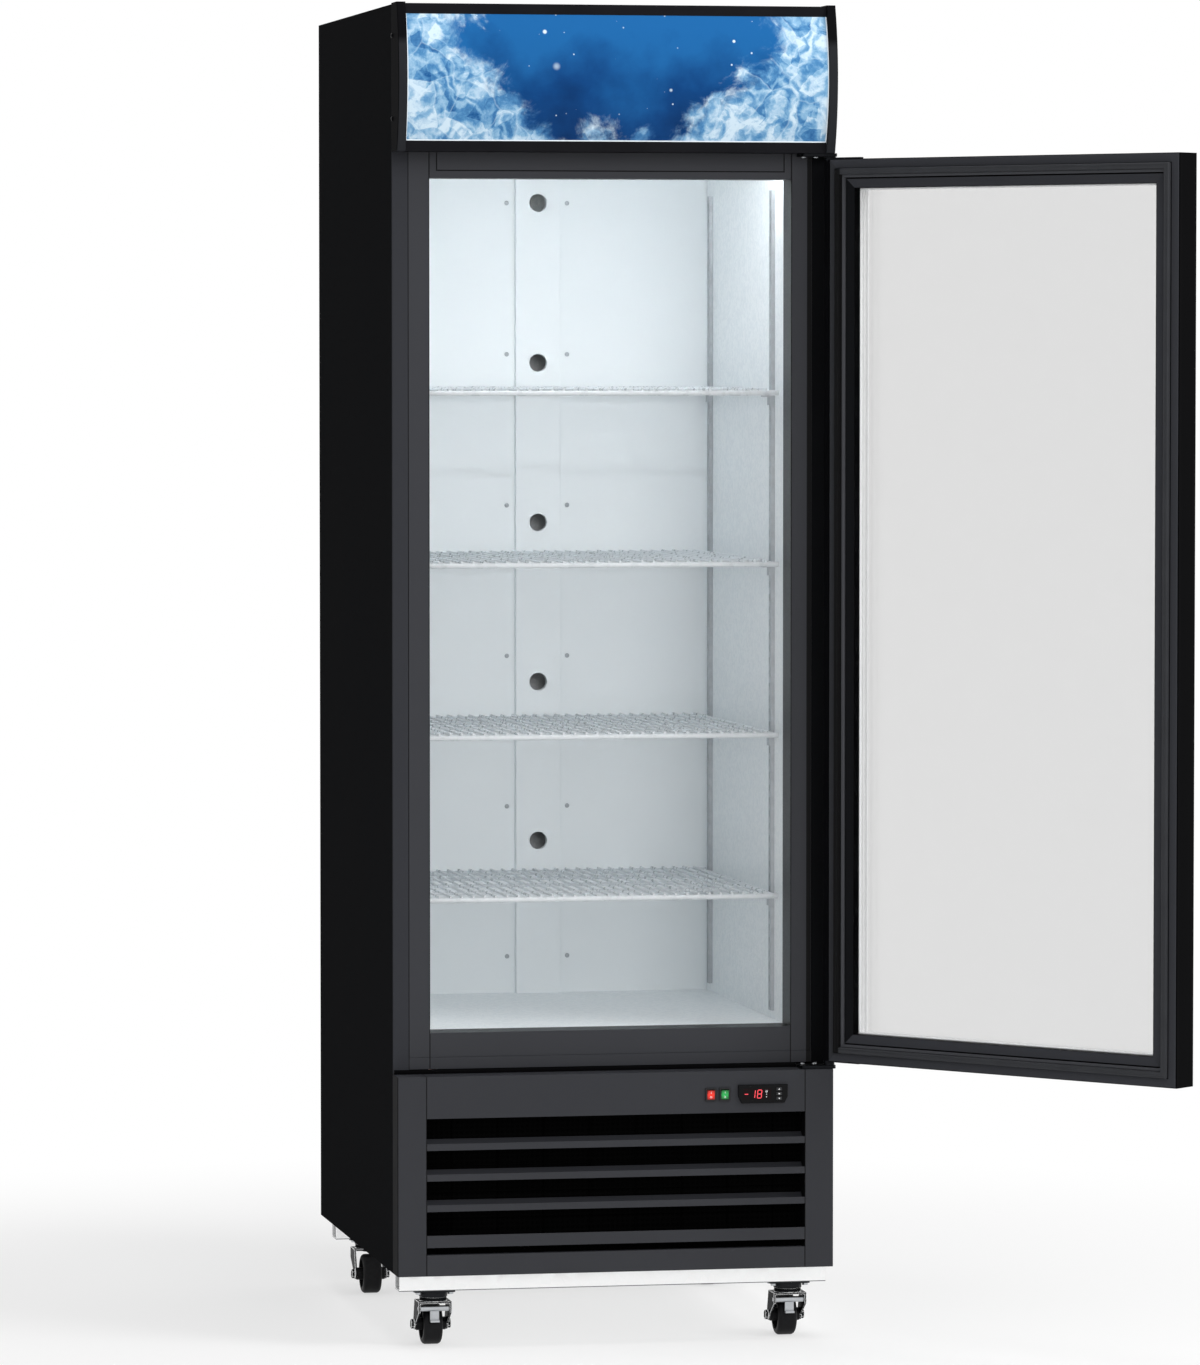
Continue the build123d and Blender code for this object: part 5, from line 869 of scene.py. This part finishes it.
# Door handle
# A bar handle on two posts, screwed to the door's outer side from within the frame.
# Black ABS with a satin grain.
dress(moulded("satin black ABS", "0E0E0F", "171719", 0.36, 1.5), "door_handle")

# Hinges
# Steel plates fixed above and below the door, each with its pin and a collar that carries the door, and the
# arms on the door's ends whose knuckles turn on the pins. Zinc-plated and passivated black, softly glossy.
hinge_steel = plated("black-passivated hinge steel", "141517", "242528", 0.32, 0.46, 7)
dress(hinge_steel, "hinge_brackets", "hinge_arms")

# Condensing unit
# The compressor, condenser and fan on the base pan, with brazed copper lines, a condensate pan and the
# electrical box. Coloured black as painted shade, so that they do not show through the louvres.
unit_black = powder_coat("unit steel, black as painted shade", "050506", "0A0A0B", 0.6, 0.1)
dress(unit_black, "condenser_coil", "fan_mounts", "compressor", "electrical_box")
dress(moulded("moulded black polypropylene", "070708", "0D0D0E", 0.5, 2.0, 0.2), "condensate_pan")
fan_black = moulded("moulded black fan nylon", "08080A", "101012", 0.45, 2.0, 0.2)
dress(fan_black, "condenser_fan_blade", "evaporator_fan_blade")
dress(plated("tarnished copper tube", "6E3B22", "A9623A", 0.30, 0.50, 22), "copper_pipes")

# Evaporator
# A finned coil over the ceiling panel, with its fan in front of it.
# Mill aluminium fins, bright, with slightly duller patches.
dress(plated("mill aluminium fins", "AEB2B5", "D2D5D7", 0.30, 0.45, 8), "evaporator_coil")


# Screws
# Pan-head screws with a cross recess, driven through the sheets they hold.
# Zinc-plated inside and at the hinges, black-oxide on the outer skins.
def lathe(shape, outline, sides):
    """Turn an outline of radius and height in mm about Z."""
    turns = [step * math.tau / sides for step in range(sides)]
    rings = []
    for radius, z in outline:
        around = turns if radius else [0.0]
        points = [(radius * math.cos(turn), radius * math.sin(turn), z) for turn in around]
        rings.append([shape.verts.new(Vector(point) / 1000) for point in points])
    for a, b in zip(rings, rings[1:]):
        for i in range(sides):
            j = (i + 1) % sides
            if len(a) == 1:
                shape.faces.new((a[0], b[j], b[i]))
            elif len(b) == 1:
                shape.faces.new((a[i], a[j], b[0]))
            else:
                shape.faces.new((a[i], a[j], b[j], b[i]))


HEAD_SIDES, SCREW_TURN = 28, 0.83
RECESS, RECESS_MIDDLE = (4.2e-3, 0.9e-3, 1.6e-3), 1.75e-3
dome = [(0, 0), (3.6, 0), (3.75, 0.3), (3.6, 1.0), (3.1, 1.6), (2.2, 2.05), (1.0, 2.25), (0, 2.3)]
head = bmesh.new()
lathe(head, dome, HEAD_SIDES)
bmesh.ops.recalc_face_normals(head, faces=head.faces)
cutter = bmesh.new()
for turn in (0, math.pi / 2):
    box = bmesh.ops.create_cube(cutter, size=1.0)["verts"]
    bmesh.ops.scale(cutter, vec=RECESS, verts=box)
    bmesh.ops.rotate(cutter, cent=(0, 0, 0), matrix=Matrix.Rotation(turn, 3, "Z"), verts=box)
    bmesh.ops.translate(cutter, vec=(0, 0, RECESS_MIDDLE), verts=box)
blanks = []
for name, shape in (("screw_head", head), ("screw_cutter", cutter)):
    blank = bpy.data.objects.new(name, bpy.data.meshes.new(name))
    shape.to_mesh(blank.data)
    shape.free()
    scene.collection.objects.link(blank)
    blanks.append(blank)
cut = blanks[0].modifiers.new("recess", "BOOLEAN")
cut.object = blanks[1]
cut.operation = "DIFFERENCE"
cut.use_self = True
bpy.context.view_layer.update()
finished = bpy.data.meshes.new_from_object(blanks[0].evaluated_get(bpy.context.evaluated_depsgraph_get()))
for blank in blanks:
    bpy.data.objects.remove(blank)
black_oxide = plated("black-oxide steel", "0C0C0E", "1A1B1D", 0.35, 0.5, 5)
screws = {"zinc_steel": finished, "black_steel": finished.copy()}
for material_slot, finish in (("zinc_steel", bright_zinc), ("black_steel", black_oxide)):
    screws[material_slot].materials.clear()
    screws[material_slot].materials.append(finish)

SIDE_X, HEADER_Y, BACK_Y, TOP_Z, CEILING_Z = 0.3425, -0.383, 0.374, 2.045, 1.830
DUCT_Y, DUCT_TOP, DUCT_PITCH = 0.266, 1.775, 0.246
HINGE_SCREW_Y, LOWER_PLATE, UPPER_PLATE = -0.384, 0.427, 1.835
places = []
for hand in (-1, 1):
    for z in (1.890, 2.017):
        places.append(("header_side", "black_steel", (hand * SIDE_X, HEADER_Y, z), (hand, 0, 0)))
for x in (-0.312, 0.312):
    for z in (0.470, 0.780, 1.090, 1.400, 1.710, 2.030):
        places.append(("rear_panel", "black_steel", (x, BACK_Y, z), (0, 1, 0)))
    for z in (0.130, 0.270, 0.410):
        places.append(("service_cover", "black_steel", (x, BACK_Y, z), (0, 1, 0)))
for x in (-0.1, 0.1):
    places.append(("rear_top", "black_steel", (x, BACK_Y, TOP_Z), (0, 1, 0)))
for x in (-0.050, 0.050):
    for step in range(6):
        places.append(("duct_cover", "zinc_steel", (x, DUCT_Y, DUCT_TOP - step * DUCT_PITCH), (0, -1, 0)))
for x in (-0.262, 0.262):
    for y in (-0.290, 0.240):
        places.append(("ceiling_panel", "zinc_steel", (x, y, CEILING_Z), (0, 0, -1)))
for x in (0.301, 0.320):
    places.append(("lower_hinge", "zinc_steel", (x, HINGE_SCREW_Y, LOWER_PLATE), (0, 0, 1)))
    places.append(("upper_hinge", "zinc_steel", (x, HINGE_SCREW_Y, UPPER_PLATE), (0, 0, -1)))
for number, (name, material_slot, spot, out) in enumerate(places):
    screw = bpy.data.objects.new(f"{name}_screw_{number + 1:02d}", screws[material_slot])
    stand = Vector(out).to_track_quat("Z", "Y").to_matrix().to_4x4()
    screw.matrix_world = Matrix.Translation(spot) @ stand @ Matrix.Rotation(number * SCREW_TURN, 4, "Z")
    scene.collection.objects.link(screw)
    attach(screw, "cabinet")

bpy.context.view_layer.update()
